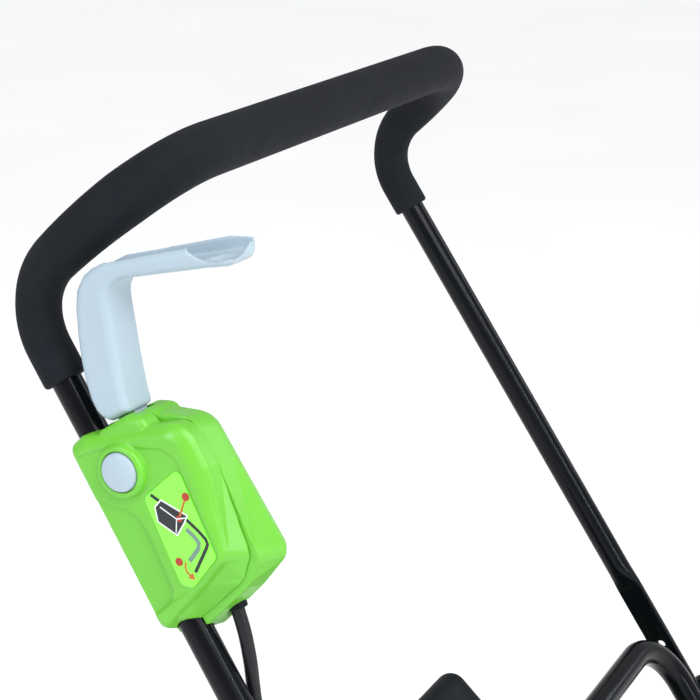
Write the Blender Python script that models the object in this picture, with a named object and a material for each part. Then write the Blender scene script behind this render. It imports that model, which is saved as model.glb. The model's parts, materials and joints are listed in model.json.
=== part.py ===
"""Mini cultivator: a small electric garden tiller with a U-shaped tube handle,
a foam grip, a clamped switch box with a squeeze lever, a vertical motor over a
worm gearbox, four tine rotors and two transport wheels.

Metres, +Z up, +Y forwards (the way the machine works), +X to the operator's
right. The ground is z = 0 and the tines and wheels stand on it."""

import math

import bpy
import bmesh
from mathutils import Matrix, Vector

# ---------------------------------------------------------------- dimensions
MM = 0.001
Y_SHIFT = -199.7        # moves the machine so that its box is centred on y = 0
BEND_Z = 830.0          # height of the corner between leg and grip section
HALF_W = 251.55         # half the distance between the two leg corners
LEG_RISE = 0.9952       # rad, slope of the legs above the horizontal
GRIP_RISE = 0.7701      # rad, slope of the short grip sections
SPLAY = 0.0360          # rad, each leg leans out by this much going down
GRIP_LEN = 121.45       # corner of leg to corner of crossbar
R_LEG_BEND = 46.95
R_GRIP_BEND = 85.1
TUBE_R = 10.0
TUBE_IN = 8.7
LEG_END = 590.0         # length of a leg from its corner
FLAT_FROM = 420.0       # the leg is pressed flat beyond this
FLAT_HALF_T = 3.0
FLAT_HALF_W = 11.0
SPARE_HOLE_S = 500.5
BOLT_S = 562.0
FOAM_END_S = 61.0
FOAM_LEG_R = 14.5
FOAM_BAR_R = 17.85
GAP = 0.3

FRAME_R = 11.0
FRAME_IN = 9.5
FRAME_TOP_S = 485.8
FRAME_OFF = 4.5         # forward of the leg axis
FRAME_IN_OFF = 15.2     # inboard of the leg axis
FRAME_BEND_R = 52.0
FRAME_END_S = 690.0
FRAME_FOOT_R = 48.0

AXLE_Y, AXLE_Z = 273.0, 100.0
TINE_R = 100.0
AXLE_R = 9.0
MOTOR_Y = 235.0
WHEEL_R = 70.0
WHEEL_Y = 62.0
WHEEL_X = 108.0
ARM_PIVOT_Y, ARM_PIVOT_Z = 121.0, 238.0

# ---------------------------------------------------------------- clean start
for old in list(bpy.data.objects):
    bpy.data.objects.remove(old, do_unlink=True)

# ---------------------------------------------------------------- materials
PALETTE = {
    "black_tube": ((0.012, 0.013, 0.016, 1), 0.28, 0.0),
    "foam": ((0.018, 0.020, 0.026, 1), 0.92, 0.0),
    "green": ((0.19, 0.62, 0.035, 1), 0.38, 0.0),
    "label": ((0.30, 0.95, 0.10, 1), 0.35, 0.0),
    "pale": ((0.55, 0.68, 0.75, 1), 0.36, 0.0),
    "black_plastic": ((0.018, 0.020, 0.024, 1), 0.55, 0.0),
    "steel": ((0.55, 0.56, 0.58, 1), 0.35, 1.0),
    "spring_steel": ((0.42, 0.43, 0.45, 1), 0.3, 1.0),
    "alloy": ((0.62, 0.63, 0.64, 1), 0.45, 1.0),
    "iron": ((0.11, 0.11, 0.12, 1), 0.6, 0.6),
    "copper": ((0.72, 0.36, 0.18, 1), 0.4, 1.0),
    "bronze": ((0.70, 0.50, 0.22, 1), 0.4, 1.0),
    "tine_paint": ((0.03, 0.03, 0.033, 1), 0.5, 0.1),
    "rubber": ((0.02, 0.02, 0.02, 1), 0.8, 0.0),
}


def material(name, look):
    base, rough, metal = PALETTE[look]
    mat = bpy.data.materials.new(name + "_mat")
    mat.use_nodes = True
    shader = mat.node_tree.nodes["Principled BSDF"]
    shader.inputs["Base Color"].default_value = base
    shader.inputs["Roughness"].default_value = rough
    shader.inputs["Metallic"].default_value = metal
    return mat


# ---------------------------------------------------------------- mesh helpers
def bare(name, verts, faces):
    """An object from millimetre points, moved by Y_SHIFT and scaled to metres."""
    mesh = bpy.data.meshes.new(name)
    mesh.from_pydata([tuple(v) for v in verts], [], faces)
    bm = bmesh.new()
    bm.from_mesh(mesh)
    bmesh.ops.recalc_face_normals(bm, faces=bm.faces)
    if bm.calc_volume(signed=True) < 0:
        bmesh.ops.reverse_faces(bm, faces=bm.faces)
    bm.to_mesh(mesh)
    bm.free()
    obj = bpy.data.objects.new(name, mesh)
    bpy.context.scene.collection.objects.link(obj)
    return obj


def combine(target, other, operation):
    """Applies one exact Boolean and drops the second object."""
    mod = target.modifiers.new("cut", "BOOLEAN")
    mod.operation = operation
    mod.solver = "EXACT"
    mod.object = other
    bpy.context.view_layer.update()
    graph = bpy.context.evaluated_depsgraph_get()
    made = bpy.data.meshes.new_from_object(target.evaluated_get(graph))
    target.modifiers.clear()
    target.data = made
    bpy.data.objects.remove(other, do_unlink=True)
    return target


def cut(target, *others):
    for other in others:
        combine(target, other, "DIFFERENCE")
    return target


def join(target, *others):
    for other in others:
        combine(target, other, "UNION")
    return target


def finish(obj, name, look, origin=None, angle=34.0):
    """Names the piece, scales it to metres, puts its origin and shades it."""
    obj.name = name
    obj.data.name = name
    mat = material(name, look)
    obj.data.materials.clear()
    obj.data.materials.append(mat)
    obj.data.transform(Matrix.Translation((0, Y_SHIFT, 0)))
    obj.data.transform(Matrix.Scale(MM, 4))
    if origin is not None:
        at = Vector((origin[0], origin[1] + Y_SHIFT, origin[2])) * MM
        obj.data.transform(Matrix.Translation(-at))
        obj.location = at
    bm = bmesh.new()
    bm.from_mesh(obj.data)
    bmesh.ops.remove_doubles(bm, verts=bm.verts, dist=2e-6)
    bmesh.ops.dissolve_degenerate(bm, edges=bm.edges, dist=1e-7)
    bm.to_mesh(obj.data)
    bm.free()
    obj.data.shade_smooth()
    obj.data.set_sharp_from_angle(angle=math.radians(angle))
    return obj


def unit(v):
    return v / v.length


def frame_axes(direction):
    """Two directions across the given one."""
    d = unit(Vector(direction))
    helper = Vector((0, 0, 1)) if abs(d.z) < 0.9 else Vector((1, 0, 0))
    e1 = unit(d.cross(helper))
    return d, e1, unit(d.cross(e1))


def ring_solid(name, rings, caps=True):
    """A closed solid from equal rings; the first and last are capped."""
    n = len(rings[0])
    verts = [p for ring in rings for p in ring]
    faces = []
    for i in range(len(rings) - 1):
        for j in range(n):
            k = (j + 1) % n
            faces.append((i * n + j, i * n + k, (i + 1) * n + k, (i + 1) * n + j))
    if caps:
        faces.append(tuple(range(n - 1, -1, -1)))
        faces.append(tuple((len(rings) - 1) * n + j for j in range(n)))
    return bare(name, verts, faces)


def lathe(name, at, direction, profile, n=20, turn=0.5):
    """A solid of revolution: profile holds (distance along, radius)."""
    d, e1, e2 = frame_axes(direction)
    at = Vector(at)
    rings = []
    for along, r in profile:
        rings.append([
            at + d * along
            + (e1 * math.cos(2 * math.pi * (j + turn) / n)
               + e2 * math.sin(2 * math.pi * (j + turn) / n)) * r
            for j in range(n)
        ])
    return ring_solid(name, rings)


def cyl(at, direction, length, r, n=20, turn=0.5):
    return lathe("cyl", at, direction, [(0, r), (length, r)], n, turn)


def sleeve(name, at, direction, length, r_out, r_in, n=20, lip=0.0):
    """A ring with a hole right through, open at both ends."""
    d, e1, e2 = frame_axes(direction)
    at = Vector(at)
    loop = [(0, r_in), (0, r_out - lip), (lip, r_out), (length - lip, r_out),
            (length, r_out - lip), (length, r_in)] if lip else [
                (0, r_in), (0, r_out), (length, r_out), (length, r_in)]
    verts, faces = [], []
    m = len(loop)
    for j in range(n):
        a = 2 * math.pi * (j + 0.5) / n
        for along, r in loop:
            verts.append(at + d * along + (e1 * math.cos(a) + e2 * math.sin(a)) * r)
    for j in range(n):
        k = (j + 1) % n
        for i in range(m):
            p = (i + 1) % m
            faces.append((j * m + i, k * m + i, k * m + p, j * m + p))
    return bare(name, verts, faces)


def box(lo, hi):
    x0, y0, z0 = lo
    x1, y1, z1 = hi
    v = [(x0, y0, z0), (x1, y0, z0), (x1, y1, z0), (x0, y1, z0),
         (x0, y0, z1), (x1, y0, z1), (x1, y1, z1), (x0, y1, z1)]
    f = [(3, 2, 1, 0), (4, 5, 6, 7), (0, 1, 5, 4), (1, 2, 6, 5), (2, 3, 7, 6), (3, 0, 4, 7)]
    return bare("box", v, f)


def fillet(p, q, s, r, n):
    """The points of an arc of radius r that replaces the corner q."""
    p, q, s = Vector(p), Vector(q), Vector(s)
    a, b = unit(p - q), unit(s - q)
    ang = math.acos(max(-1, min(1, a.dot(b))))
    t = r / math.tan(ang / 2)
    c = q + unit(a + b) * (r / math.sin(ang / 2))
    u, v = (q + a * t - c) / r, (q + b * t - c) / r
    th = math.pi - ang
    return [c + (u * math.sin((1 - k / (n - 1)) * th) + v * math.sin(k / (n - 1) * th)) * (r / math.sin(th))
            for k in range(n)]


def rounded(points, radii, n=4):
    """A closed 2-D outline with its corners rounded."""
    out = []
    m = len(points)
    for i, q in enumerate(points):
        p, s, r = points[i - 1], points[(i + 1) % m], radii[i]
        if r <= 0:
            out.append((q[0], q[1]))
            continue
        for w in fillet((p[0], p[1], 0), (q[0], q[1], 0), (s[0], s[1], 0), r, n):
            out.append((w.x, w.y))
    return out


def area(outline):
    return sum(a[0] * b[1] - b[0] * a[1] for a, b in zip(outline, outline[1:] + outline[:1])) / 2


def inset(outline, d):
    """The outline moved inwards by d, corner by corner."""
    sign = 1 if area(outline) > 0 else -1
    out = []
    m = len(outline)
    for i, q in enumerate(outline):
        p, s = outline[i - 1], outline[(i + 1) % m]
        e1 = Vector((q[0] - p[0], q[1] - p[1])).normalized()
        e2 = Vector((s[0] - q[0], s[1] - q[1])).normalized()
        n1, n2 = Vector((-e1.y, e1.x)) * sign, Vector((-e2.y, e2.x)) * sign
        mid = n1 + n2
        mid = mid * (2 / max(mid.length_squared, 0.4)) / 1.0
        out.append((q[0] + mid.x * d, q[1] + mid.y * d))
    return out


def slab(name, outline, lo, hi, place, soft_lo=0.0, soft_hi=0.0, steps=3):
    """An outline extruded from lo to hi, with its two rims rounded.
    place turns (a, b, along) into a point."""
    levels = []
    if soft_lo:
        for k in range(steps):
            t = k / steps * math.pi / 2
            levels.append((lo + soft_lo * (1 - math.sin(t)), soft_lo * (1 - math.cos(t)), k))
        levels = sorted(((lo + soft_lo * (1 - math.cos(k / steps * math.pi / 2)),
                          soft_lo * (1 - math.sin(k / steps * math.pi / 2))) for k in range(steps + 1)))
    else:
        levels = [(lo, 0.0)]
    if soft_hi:
        levels += sorted(((hi - soft_hi * (1 - math.cos(k / steps * math.pi / 2)),
                           soft_hi * (1 - math.sin(k / steps * math.pi / 2))) for k in range(steps + 1)))
    else:
        levels += [(hi, 0.0)]
    rings = []
    for level, d in levels:
        loop = inset(outline, d) if d > 1e-9 else outline
        rings.append([place(a, b, level) for a, b in loop])
    return ring_solid(name, rings)


def side(y, z, x):
    """Places a side-view outline (y, z) at the given x."""
    return Vector((x, y, z))


def top(x, y, z):
    return Vector((x, y, z))


def spring(name, at, direction, length, r, wire, turns, per_turn=9, n=4):
    """A round-wire coil with flat free ends."""
    d, e1, e2 = frame_axes(direction)
    at = Vector(at)
    rings = []
    total = int(turns * per_turn)
    for i in range(total + 1):
        a = 2 * math.pi * i / per_turn
        out = e1 * math.cos(a) + e2 * math.sin(a)
        c = at + d * (wire + (length - 2 * wire) * i / total) + out * r
        rings.append([c + (out * math.cos(2 * math.pi * j / n) + d * math.sin(2 * math.pi * j / n)) * wire
                      for j in range(n)])
    return ring_solid(name, rings)


# ---------------------------------------------------------------- leg frame
# The switch box, lever and cable are laid out along the right leg: s runs down
# the leg from its corner, w forwards and up from it, n outwards.
U = Vector((math.sin(SPLAY), math.cos(LEG_RISE) * math.cos(SPLAY), -math.sin(LEG_RISE) * math.cos(SPLAY)))
W = Vector((0, math.sin(LEG_RISE), math.cos(LEG_RISE)))
N = U.cross(W)
CORNER = Vector((HALF_W, 0, BEND_Z))


def leg(s, w, n=0.0):
    return CORNER + U * s + W * w + N * n


def leg_slab(name, outline, lo, hi, soft_lo=0.0, soft_hi=0.0, steps=3):
    return slab(name, outline, lo, hi, leg, soft_lo, soft_hi, steps)


def mirrored(v):
    return Vector((-v[0], v[1], v[2]))


# ---------------------------------------------------------------- handle path
def handle_path(near_s, bend_n, grip_n):
    """Centre line of the whole upper handle from the right leg to the left.
    Gives points with the share of grip thickness at each."""
    grip_dir = Vector((0, math.cos(GRIP_RISE), math.sin(GRIP_RISE)))
    c_r, c_l = CORNER, mirrored(CORNER)
    t_r, t_l = c_r + grip_dir * GRIP_LEN, c_l + grip_dir * GRIP_LEN
    e_r = leg(LEG_END, 0)
    first = fillet(e_r, c_r, t_r, R_LEG_BEND, bend_n)
    second = fillet(c_r, t_r, t_l, R_GRIP_BEND, grip_n)
    half = [(leg(s, 0), 0.0) for s in near_s]
    m = len(first)
    half += [(p, 0.35 * max(0.0, (i / (m - 1) - 0.5) / 0.5)) for i, p in enumerate(first)]
    m = len(second)
    half += [(p, min(1.0, 0.35 + 0.65 * i / ((m - 1) * 0.45))) for i, p in enumerate(second)]
    return half + [(mirrored(p), f) for p, f in reversed(half)]


def transported(points, start):
    """Frames carried along a line without twist, one per point."""
    frames = []
    e1 = unit(Vector(start))
    for i, p in enumerate(points):
        a = points[max(i - 1, 0)]
        b = points[min(i + 1, len(points) - 1)]
        t = unit(b - a)
        e1 = unit(e1 - t * e1.dot(t))
        frames.append((p, t, e1, unit(t.cross(e1))))
    return frames


def pipe(name, frames, outer, inner=None, n=12):
    """Sweeps a section along frames. outer and inner give (a, b) for the
    point j of frame i; the ends of a hollow pipe are open."""
    rings = []
    for i, (p, _t, e1, e2) in enumerate(frames):
        rings.append([p + e1 * outer(i, j)[0] + e2 * outer(i, j)[1] for j in range(n)])
    if inner is None:
        return ring_solid(name, rings)
    bore = []
    for i, (p, _t, e1, e2) in enumerate(frames):
        bore.append([p + e1 * inner(i, j)[0] + e2 * inner(i, j)[1] for j in range(n)])
    loops = rings + bore[::-1]
    verts = [p for ring in loops for p in ring]
    faces = []
    m = len(loops)
    for i in range(m):
        q = (i + 1) % m
        for j in range(n):
            k = (j + 1) % n
            faces.append((i * n + j, i * n + k, q * n + k, q * n + j))
    return bare(name, verts, faces)


def round_at(r, n):
    return lambda i, j: (r * math.cos(2 * math.pi * (j + 0.5) / n), r * math.sin(2 * math.pi * (j + 0.5) / n))


# ================================================================ 1 upper tube
TUBE_N = 10
leg_stops = [LEG_END, FLAT_FROM + 26, FLAT_FROM + 13, FLAT_FROM]
path = handle_path(leg_stops, 5, 7)
pts = [p for p, _ in path]
frames = transported(pts, N)
count = len(pts)


def flatness(i):
    k = min(i, count - 1 - i)
    return {0: 1.0, 1: 1.0, 2: 0.55}.get(k, 0.0)


def tube_outer(i, j):
    a = 2 * math.pi * (j + 0.5) / TUBE_N
    f = flatness(i)
    x, y = TUBE_R * math.cos(a), TUBE_R * math.sin(a)
    flat = max(-FLAT_HALF_T, min(FLAT_HALF_T, x))
    return x + (flat - x) * f, y * (1 + f * (FLAT_HALF_W / TUBE_R - 1))


def tube_inner(i, j):
    a = 2 * math.pi * (j + 0.5) / TUBE_N
    f = flatness(i)
    x, y = TUBE_IN * math.cos(a), TUBE_IN * math.sin(a)
    flat = max(-0.8, min(0.8, x))
    return x + (flat - x) * f, y * (1 + f * 0.25)


tube = pipe("upper_handle_tube", frames, tube_outer, tube_inner, TUBE_N)
for sgn in (1, -1):
    for s, r in ((SPARE_HOLE_S, 3.9), (BOLT_S, 4.3)):
        c = leg(s, 0)
        c = c if sgn > 0 else mirrored(c)
        cut(tube, cyl(c - Vector((12, 0, 0)), (1, 0, 0), 24, r, 12))
finish(tube, "upper_handle_tube", "black_tube")

# ================================================================ 2 foam grip
FOAM_N = 12
foam_stops = [FOAM_END_S, FOAM_END_S - 1.6]
fpath = handle_path(foam_stops, 5, 7)
fpts = [p for p, _ in fpath]
fframes = transported(fpts, N)
fcount = len(fpts)


def foam_outer(i, j):
    share = fpath[i][1]
    r = FOAM_LEG_R + (FOAM_BAR_R - FOAM_LEG_R) * share
    if i in (0, fcount - 1):
        r -= 1.6
    return round_at(r, FOAM_N)(i, j)


foam = pipe("handle_foam_grip", fframes, foam_outer,
            round_at((TUBE_R + GAP) / math.cos(math.pi / FOAM_N) + 0.1, FOAM_N), FOAM_N)
finish(foam, "handle_foam_grip", "foam")

# ================================================================ 3 lower frame
FR_N = 10


def frame_point(s):
    """A point on the right leg of the lower frame."""
    flat = leg(s, FRAME_OFF)
    return Vector((HALF_W + s * math.sin(SPLAY) - FRAME_IN_OFF, flat.y, flat.z))


f_top = frame_point(FRAME_TOP_S)
f_foot = frame_point(FRAME_END_S)
socket_y, socket_z = f_foot.y, f_foot.z
CLAMP_X = 77.0
corner = fillet(f_foot, f_top, mirrored(f_top), FRAME_BEND_R, 5)
foot = fillet((60, socket_y, socket_z), f_foot, f_top, FRAME_FOOT_R, 5)
halfway = [Vector((58, socket_y, socket_z)), Vector((150, socket_y, socket_z))] + foot + corner
frame_pts = halfway + [mirrored(p) for p in reversed(halfway)]
fr = transported(frame_pts, (0, 0, 1))
lower = pipe("lower_handle_frame", fr, round_at(FRAME_R, FR_N), round_at(FRAME_IN, FR_N), FR_N)
bolt_c = leg(BOLT_S, 0)
frame_w = 0.0
for sgn in (1, -1):
    c = bolt_c if sgn > 0 else mirrored(bolt_c)
    cut(lower, cyl((c.x - sgn * 30, c.y, c.z), (sgn, 0, 0), 34, 4.3, 12))
    cut(lower, cyl((sgn * CLAMP_X, socket_y, socket_z - 14), (0, 0, 1), 28, 2.9, 12))
finish(lower, "lower_handle_frame", "black_tube")

# ================================================================ 4-7 bolts and knobs
for sgn, word in ((1, "right"), (-1, "left")):
    x_face = sgn * (bolt_c.x + FLAT_HALF_T)
    x_in = sgn * (bolt_c.x - 3 - 2 * FRAME_R - 1.2)
    d = (sgn, 0, 0)
    bolt = lathe("b", (x_in, bolt_c.y, bolt_c.z), d,
                 [(-5.2, 3.0), (-4.6, 5.4), (-0.9, 7.2), (-0.9 + 0.6, 7.2), (-0.3, 3.8), (43.2, 3.8), (43.9, 3.2)], 12)
    finish(bolt, "handle_bolt_" + word, "steel", (x_in, bolt_c.y, bolt_c.z))
    start = x_face + sgn * 0.35
    knob = lathe("k", (start, bolt_c.y, bolt_c.z), d,
                 [(0, 9.0), (2, 10.5), (14, 10.0), (18, 7.0)], 16)
    for q in (0, 1, 2):
        a = math.radians(90 + 120 * q)
        cy, cz = bolt_c.y + 11.5 * math.cos(a), bolt_c.z + 11.5 * math.sin(a)
        join(knob, lathe("lobe", (start + sgn * 3.0, cy, cz), d, [(0, 8.0), (10.5, 8.2), (12.5, 6.8)], 12))
    cut(knob, cyl((start - sgn * 2, bolt_c.y, bolt_c.z), d, 17.6, 4.15, 12))
    finish(knob, "handle_knob_" + word, "black_plastic", (start, bolt_c.y, bolt_c.z))

# ================================================================ 8-9 switch box shells
PART_N = 4.0            # parting plane between the two shells
FACE_N = 22.4           # rim of the outer face
PANEL_N = 21.2          # the panel inside the rim, with the button and label
BACK_N = -28.0
CORNER_N = 3            # points in each rounded corner of the shells


def between(a, b, share):
    """A line part of the way from outline a to outline b."""
    return [(p[0] + (q[0] - p[0]) * share, p[1] + (q[1] - p[1]) * share) for p, q in zip(a, b)]


def loft(name, outline_at, place):
    """A solid through matching outlines, each given with its level."""
    made = ring_solid(name, [[place(a, b, level) for a, b in outline] for level, outline in outline_at])
    bm = bmesh.new()
    bm.from_mesh(made.data)
    bmesh.ops.triangulate(bm, faces=[f for f in bm.faces if len(f.verts) == 4])
    bm.to_mesh(made.data)
    bm.free()
    return made


# The outer shell stands on the parting plane and rounds over a broad rim band.
outer_foot = rounded(
    [(98, -12.3), (97.0, 5), (119.5, 78.5), (150, 78.5), (209, 67.6), (222.5, 52), (231.5, 12), (232, -12.3)],
    [4, 10, 15, 12, 11, 12, 10, 4], CORNER_N)
outer_ridge = rounded(
    [(99.5, -8.4), (96.8, 4), (118.5, 80.5), (150, 79.2), (204.5, 61.6), (213.5, 38), (224, 3), (229.5, -10.4)],
    [4, 9, 18, 14, 11, 12, 10, 4], CORNER_N)
outer_face = rounded(
    [(105.5, -3.4), (105, 7), (123.5, 70), (149, 69), (200, 56.5), (207.5, 36), (218.5, 2), (223, -5)],
    [3, 5, 9, 8, 6, 7, 6, 3], CORNER_N)
inner_seam = rounded(
    [(98.2, -12.0), (97.6, 30), (117.9, 77.2), (150, 77.9), (213, 71.5), (226, 53), (236.5, 12), (236, -12.0)],
    [4, 8, 15, 12, 11, 12, 10, 4], CORNER_N)
inner_line = rounded(
    [(97.6, -9.3), (98.8, 40), (120.5, 75.6), (150, 76.2), (219.5, 78.6), (230.5, 50), (242.4, 8), (238.5, -9.3)],
    [5, 12, 20, 14, 9, 14, 8, 5], CORNER_N)
inner_back = rounded(
    [(109, 2), (111, 37), (128, 64.5), (149, 65.0), (209, 66), (218, 44), (228, 8), (226, 2)],
    [4, 8, 9, 10, 6, 9, 6, 4], CORNER_N)
dome_line = rounded([(124, 2), (104, 9), (98.8, 19), (98.8, 42), (104, 52), (124, 58)], [2, 7, 7, 7, 7, 2], 2)
cavity_line = rounded(
    [(104, 16), (112, 46), (123.5, 65), (134, 72), (198, 58), (209, 44), (218, 16)],
    [3, 4, 5, 5, 5, 6, 3], 2)
BUTTON = (127.6, 24.6)
PIVOT = (118.5, 33.0)
SCREWS = ((139.0, 61.6), (205.5, 58.6))
SLOT_LINE = [(88, 15.5), (112, 15.5), (112, 44.5), (88, 44.5)]
SWING_LINE = [(88, 10.5), (102.6, 10.5), (102.6, 24), (99.6, 31), (88, 31)]
CABLE_R = 4.5
BOSS_LO, BOSS_HI = BACK_N + 2.0, 18.5


def open_for_lever(shell):
    cut(shell, leg_slab("slot", SLOT_LINE, -10.6, 8.0))
    cut(shell, leg_slab("swing", SWING_LINE, -15.8, 15.8))


outer_shell = loft("outer", [(PART_N, outer_foot), (16.0, outer_ridge), (19.2, between(outer_ridge, outer_face, 0.28)),
                             (21.4, between(outer_ridge, outer_face, 0.62)), (FACE_N, outer_face)], leg)
join(outer_shell, leg_slab("dome", dome_line, PART_N + 0.25, 19.0, 0, 5.0, 2))
cut(outer_shell, leg_slab("c", cavity_line, PART_N - 5, 17.6))
boss = cyl(leg(SCREWS[0][0], SCREWS[0][1], PART_N + 0.3), N, 15.2, 3.6, 12)
join(outer_shell, boss)
cut(outer_shell, cyl(leg(70, 0), U, 190, TUBE_R + GAP + 0.3, 14, 0.0))
panel_line = [(107.5, -22), (107.5, 2), (111, 23.3), (119.3, 42.8), (127, 58.5), (135.1, 64.2), (148.5, 63.8), (173.2, 61.8),
              (198, 59.5), (205.5, 54), (211.5, 36.6), (213.4, 12.0), (216.5, -4), (216.5, -22)]
cut(outer_shell, leg_slab("panel", panel_line, PANEL_N, FACE_N + 4))
band_line = [(136.9, -22), (136.9, -3.8), (143.2, 3.2), (150, 12), (158, 17.5), (172, 18), (190, 16.2), (206, 14.7),
             (212, 10), (215.5, -3.4), (215.5, -22)]
cut(outer_shell, leg_slab("band", band_line, PANEL_N - 2.3, FACE_N + 4))
join(outer_shell, lathe("collar", leg(BUTTON[0], BUTTON[1], 15.0), N,
                        [(0, 17.6), (8.0, 17.4), (10.6, 16.6), (11.6, 15.0)], 20))
cut(outer_shell, cyl(leg(BUTTON[0], BUTTON[1], 10.0), N, 30, 13.05, 20))
open_for_lever(outer_shell)
for s, w in SCREWS:
    cut(outer_shell, cyl(leg(s, w, PART_N - 2), N, 8.6, 1.9, 10))
label_line = rounded([(141.5, 62.6), (148, 28.2), (206, 22.3), (211.0, 30), (200.5, 57)], [4, 5, 5, 4, 5], 3)
cut(outer_shell, leg_slab("c", label_line, PANEL_N - 0.8, FACE_N + 3))
finish(outer_shell, "switch_housing_outer", "green")

inner_shell = loft("inner", [(BACK_N, inner_back), (-26.2, between(inner_line, inner_back, 0.56)),
                             (-22.5, between(inner_line, inner_back, 0.22)), (-16.0, inner_line),
                             (PART_N - GAP, inner_seam)], leg)
join(inner_shell, leg_slab("dome", dome_line, -24.0, PART_N - GAP - 0.25, 5.0, 0, 2))
cut(inner_shell, leg_slab("c", cavity_line, BACK_N + 3.4, PART_N + 5))
boss = cyl(leg(SCREWS[0][0], SCREWS[0][1], BACK_N + 2.0), N, PART_N - GAP - 0.3 - BACK_N - 2.0, 4.9, 12)
join(inner_shell, boss)
cut(inner_shell, cyl(leg(70, 0), U, 190, TUBE_R + GAP + 0.3, 14, 0.0))
open_for_lever(inner_shell)
gland_at = leg(216, 31.0, -13)
gland_dir = unit(U * 1.0 + W * -0.28)
cut(inner_shell, cyl(gland_at - gland_dir * 4, gland_dir, 40, 7.2, 14))
join(inner_shell, cyl(leg(PIVOT[0], PIVOT[1], BACK_N + 1), N, 9.5, 6.0, 14))
cut(inner_shell, cyl(leg(PIVOT[0], PIVOT[1], BACK_N + 3), N, 20, 3.35, 14))
cut(inner_shell, leg_slab("inlet", rounded([(166, 26), (166, 54), (194, 54), (194, 26)], [3, 3, 3, 3], 2), BACK_N - 4, BACK_N + 8))
for s, w in SCREWS:
    cut(inner_shell, cyl(leg(s, w, BACK_N - 2), N, 6, 3.9, 12))
    cut(inner_shell, cyl(leg(s, w, BACK_N - 2), N, 40, 1.9, 12))
finish(inner_shell, "switch_housing_inner", "green")

# ================================================================ 10-11 safety button
BUTTON_N = 19.0
button = lathe("btn", leg(BUTTON[0], BUTTON[1], BUTTON_N), N,
               [(-1.6, 7.0), (-1.6, 12.6), (7.2, 12.6), (8.6, 11.9), (9.3, 9.8)], 20)
finish(button, "safety_button", "pale", leg(BUTTON[0], BUTTON[1], BUTTON_N))
coil = spring("sp", leg(BUTTON[0], BUTTON[1], 10.1), N, BUTTON_N - 1.6 - 0.3 - 10.1, 6.4, 0.5, 3)
finish(coil, "button_spring", "spring_steel", leg(BUTTON[0], BUTTON[1], 10.1))

# ================================================================ 12-14 switch lever
def bend_points(p, q, r, radius, n):
    """A rounded corner as (s, w) pairs."""
    return [(v.x, v.y) for v in fillet((p[0], p[1], 0), (q[0], q[1], 0), (r[0], r[1], 0), radius, n)]


# Side view: the limb rises out of the housing and turns into the arm.
lever_side = (
    [(98.0, 26.5)] + [(98.2, 42.4), (96.4, 43.6), (88, 46.0), (68, 53.6)]
    + bend_points((68, 53.6), (22.6, 73.0), (46.5, 140), 13, 5)
    + [(47.3, 143.0)]
    + bend_points((47.3, 143.0), (54.5, 160.5), (45, 166.5), 8, 5)
    + [(42.5, 167.5), (34.0, 152.0)]
    + [(24.0, 119.0), (14.4, 88.0), (11.3, 78.0), (10.6, 68.0), (12.0, 59.5), (17.5, 50.2), (27.0, 42.8), (42.6, 34.0),
       (56.0, 27.6), (68.0, 23.0), (80.0, 20.2), (88.0, 19.8), (93.5, 21.6)]
)
LEVER_HALF = 15.0
lever = leg_slab("lever", lever_side, -LEVER_HALF, LEVER_HALF, 5.5, 5.5, 2)
# The channel is open towards the grip: along the limb and along the arm.
limb_cut = [(88, 10.0), (87, 30.0), (62, 46.5), (33, 58.0), (14, 70), (0.0, 60.0), (0, 30)]
arm_cut = [(0, 60), (24, 58.5), (19.5, 68.0), (19.2, 76.5), (28.0, 104.0), (47.0, 158.0), (40.0, 182.0), (16.0, 182.0)]
cut(lever, leg_slab("c1", limb_cut, -LEVER_HALF + 3, LEVER_HALF - 3))
cut(lever, leg_slab("c2", arm_cut, -LEVER_HALF + 3, LEVER_HALF - 3))
# The near wall of the arm runs out before the tip.
cut(lever, leg_slab("c3", [(30, 141), (39.5, 144.0), (46.0, 150.0), (51.5, 170.0), (25, 190)], LEVER_HALF - 4, LEVER_HALF + 3))
root = leg_slab("root", rounded([(126, 28), (126, 38), (112, 40.0), (92, 40.0), (92, 26), (112, 25.5)],
                                [4.5, 4.5, 4, 0, 0, 4], 3), -9.0, 4.5)
join(lever, root)
cut(lever, cyl(leg(PIVOT[0], PIVOT[1], -14), N, 28, 3.12, 20))
finish(lever, "switch_lever", "pale", leg(PIVOT[0], PIVOT[1], 0))
pin = cyl(leg(PIVOT[0], PIVOT[1], BACK_N + 3.4), N, 34.8, 3.0, 20)
finish(pin, "lever_pivot_pin", "steel")
lever_coil = spring("lsp", leg(PIVOT[0], PIVOT[1], BACK_N + 10.9), N, 7.6, 4.6, 0.6, 4)
finish(lever_coil, "lever_return_spring", "spring_steel")

# ================================================================ 15 switch module
module = leg_slab("plate", rounded([(115, 18), (115, 44), (124, 56), (192, 52), (203, 42), (210, 18)], [2] * 6, 2), 7.5, 9.6)
join(module, leg_slab("body", rounded([(150, 20), (150, 53), (190, 50), (200, 42), (200, 20)], [2, 2, 2, 2, 2], 2), -17.0, 8.2))
cut(module, cyl(leg(PIVOT[0], PIVOT[1], 0), N, 30, 3.35, 14))
finish(module, "switch_module", "black_plastic")

# ================================================================ 16 label plate
label = leg_slab("label", inset(label_line, 0.3), PANEL_N - 0.5, PANEL_N + 0.2)
finish(label, "instruction_label", "label")

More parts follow.
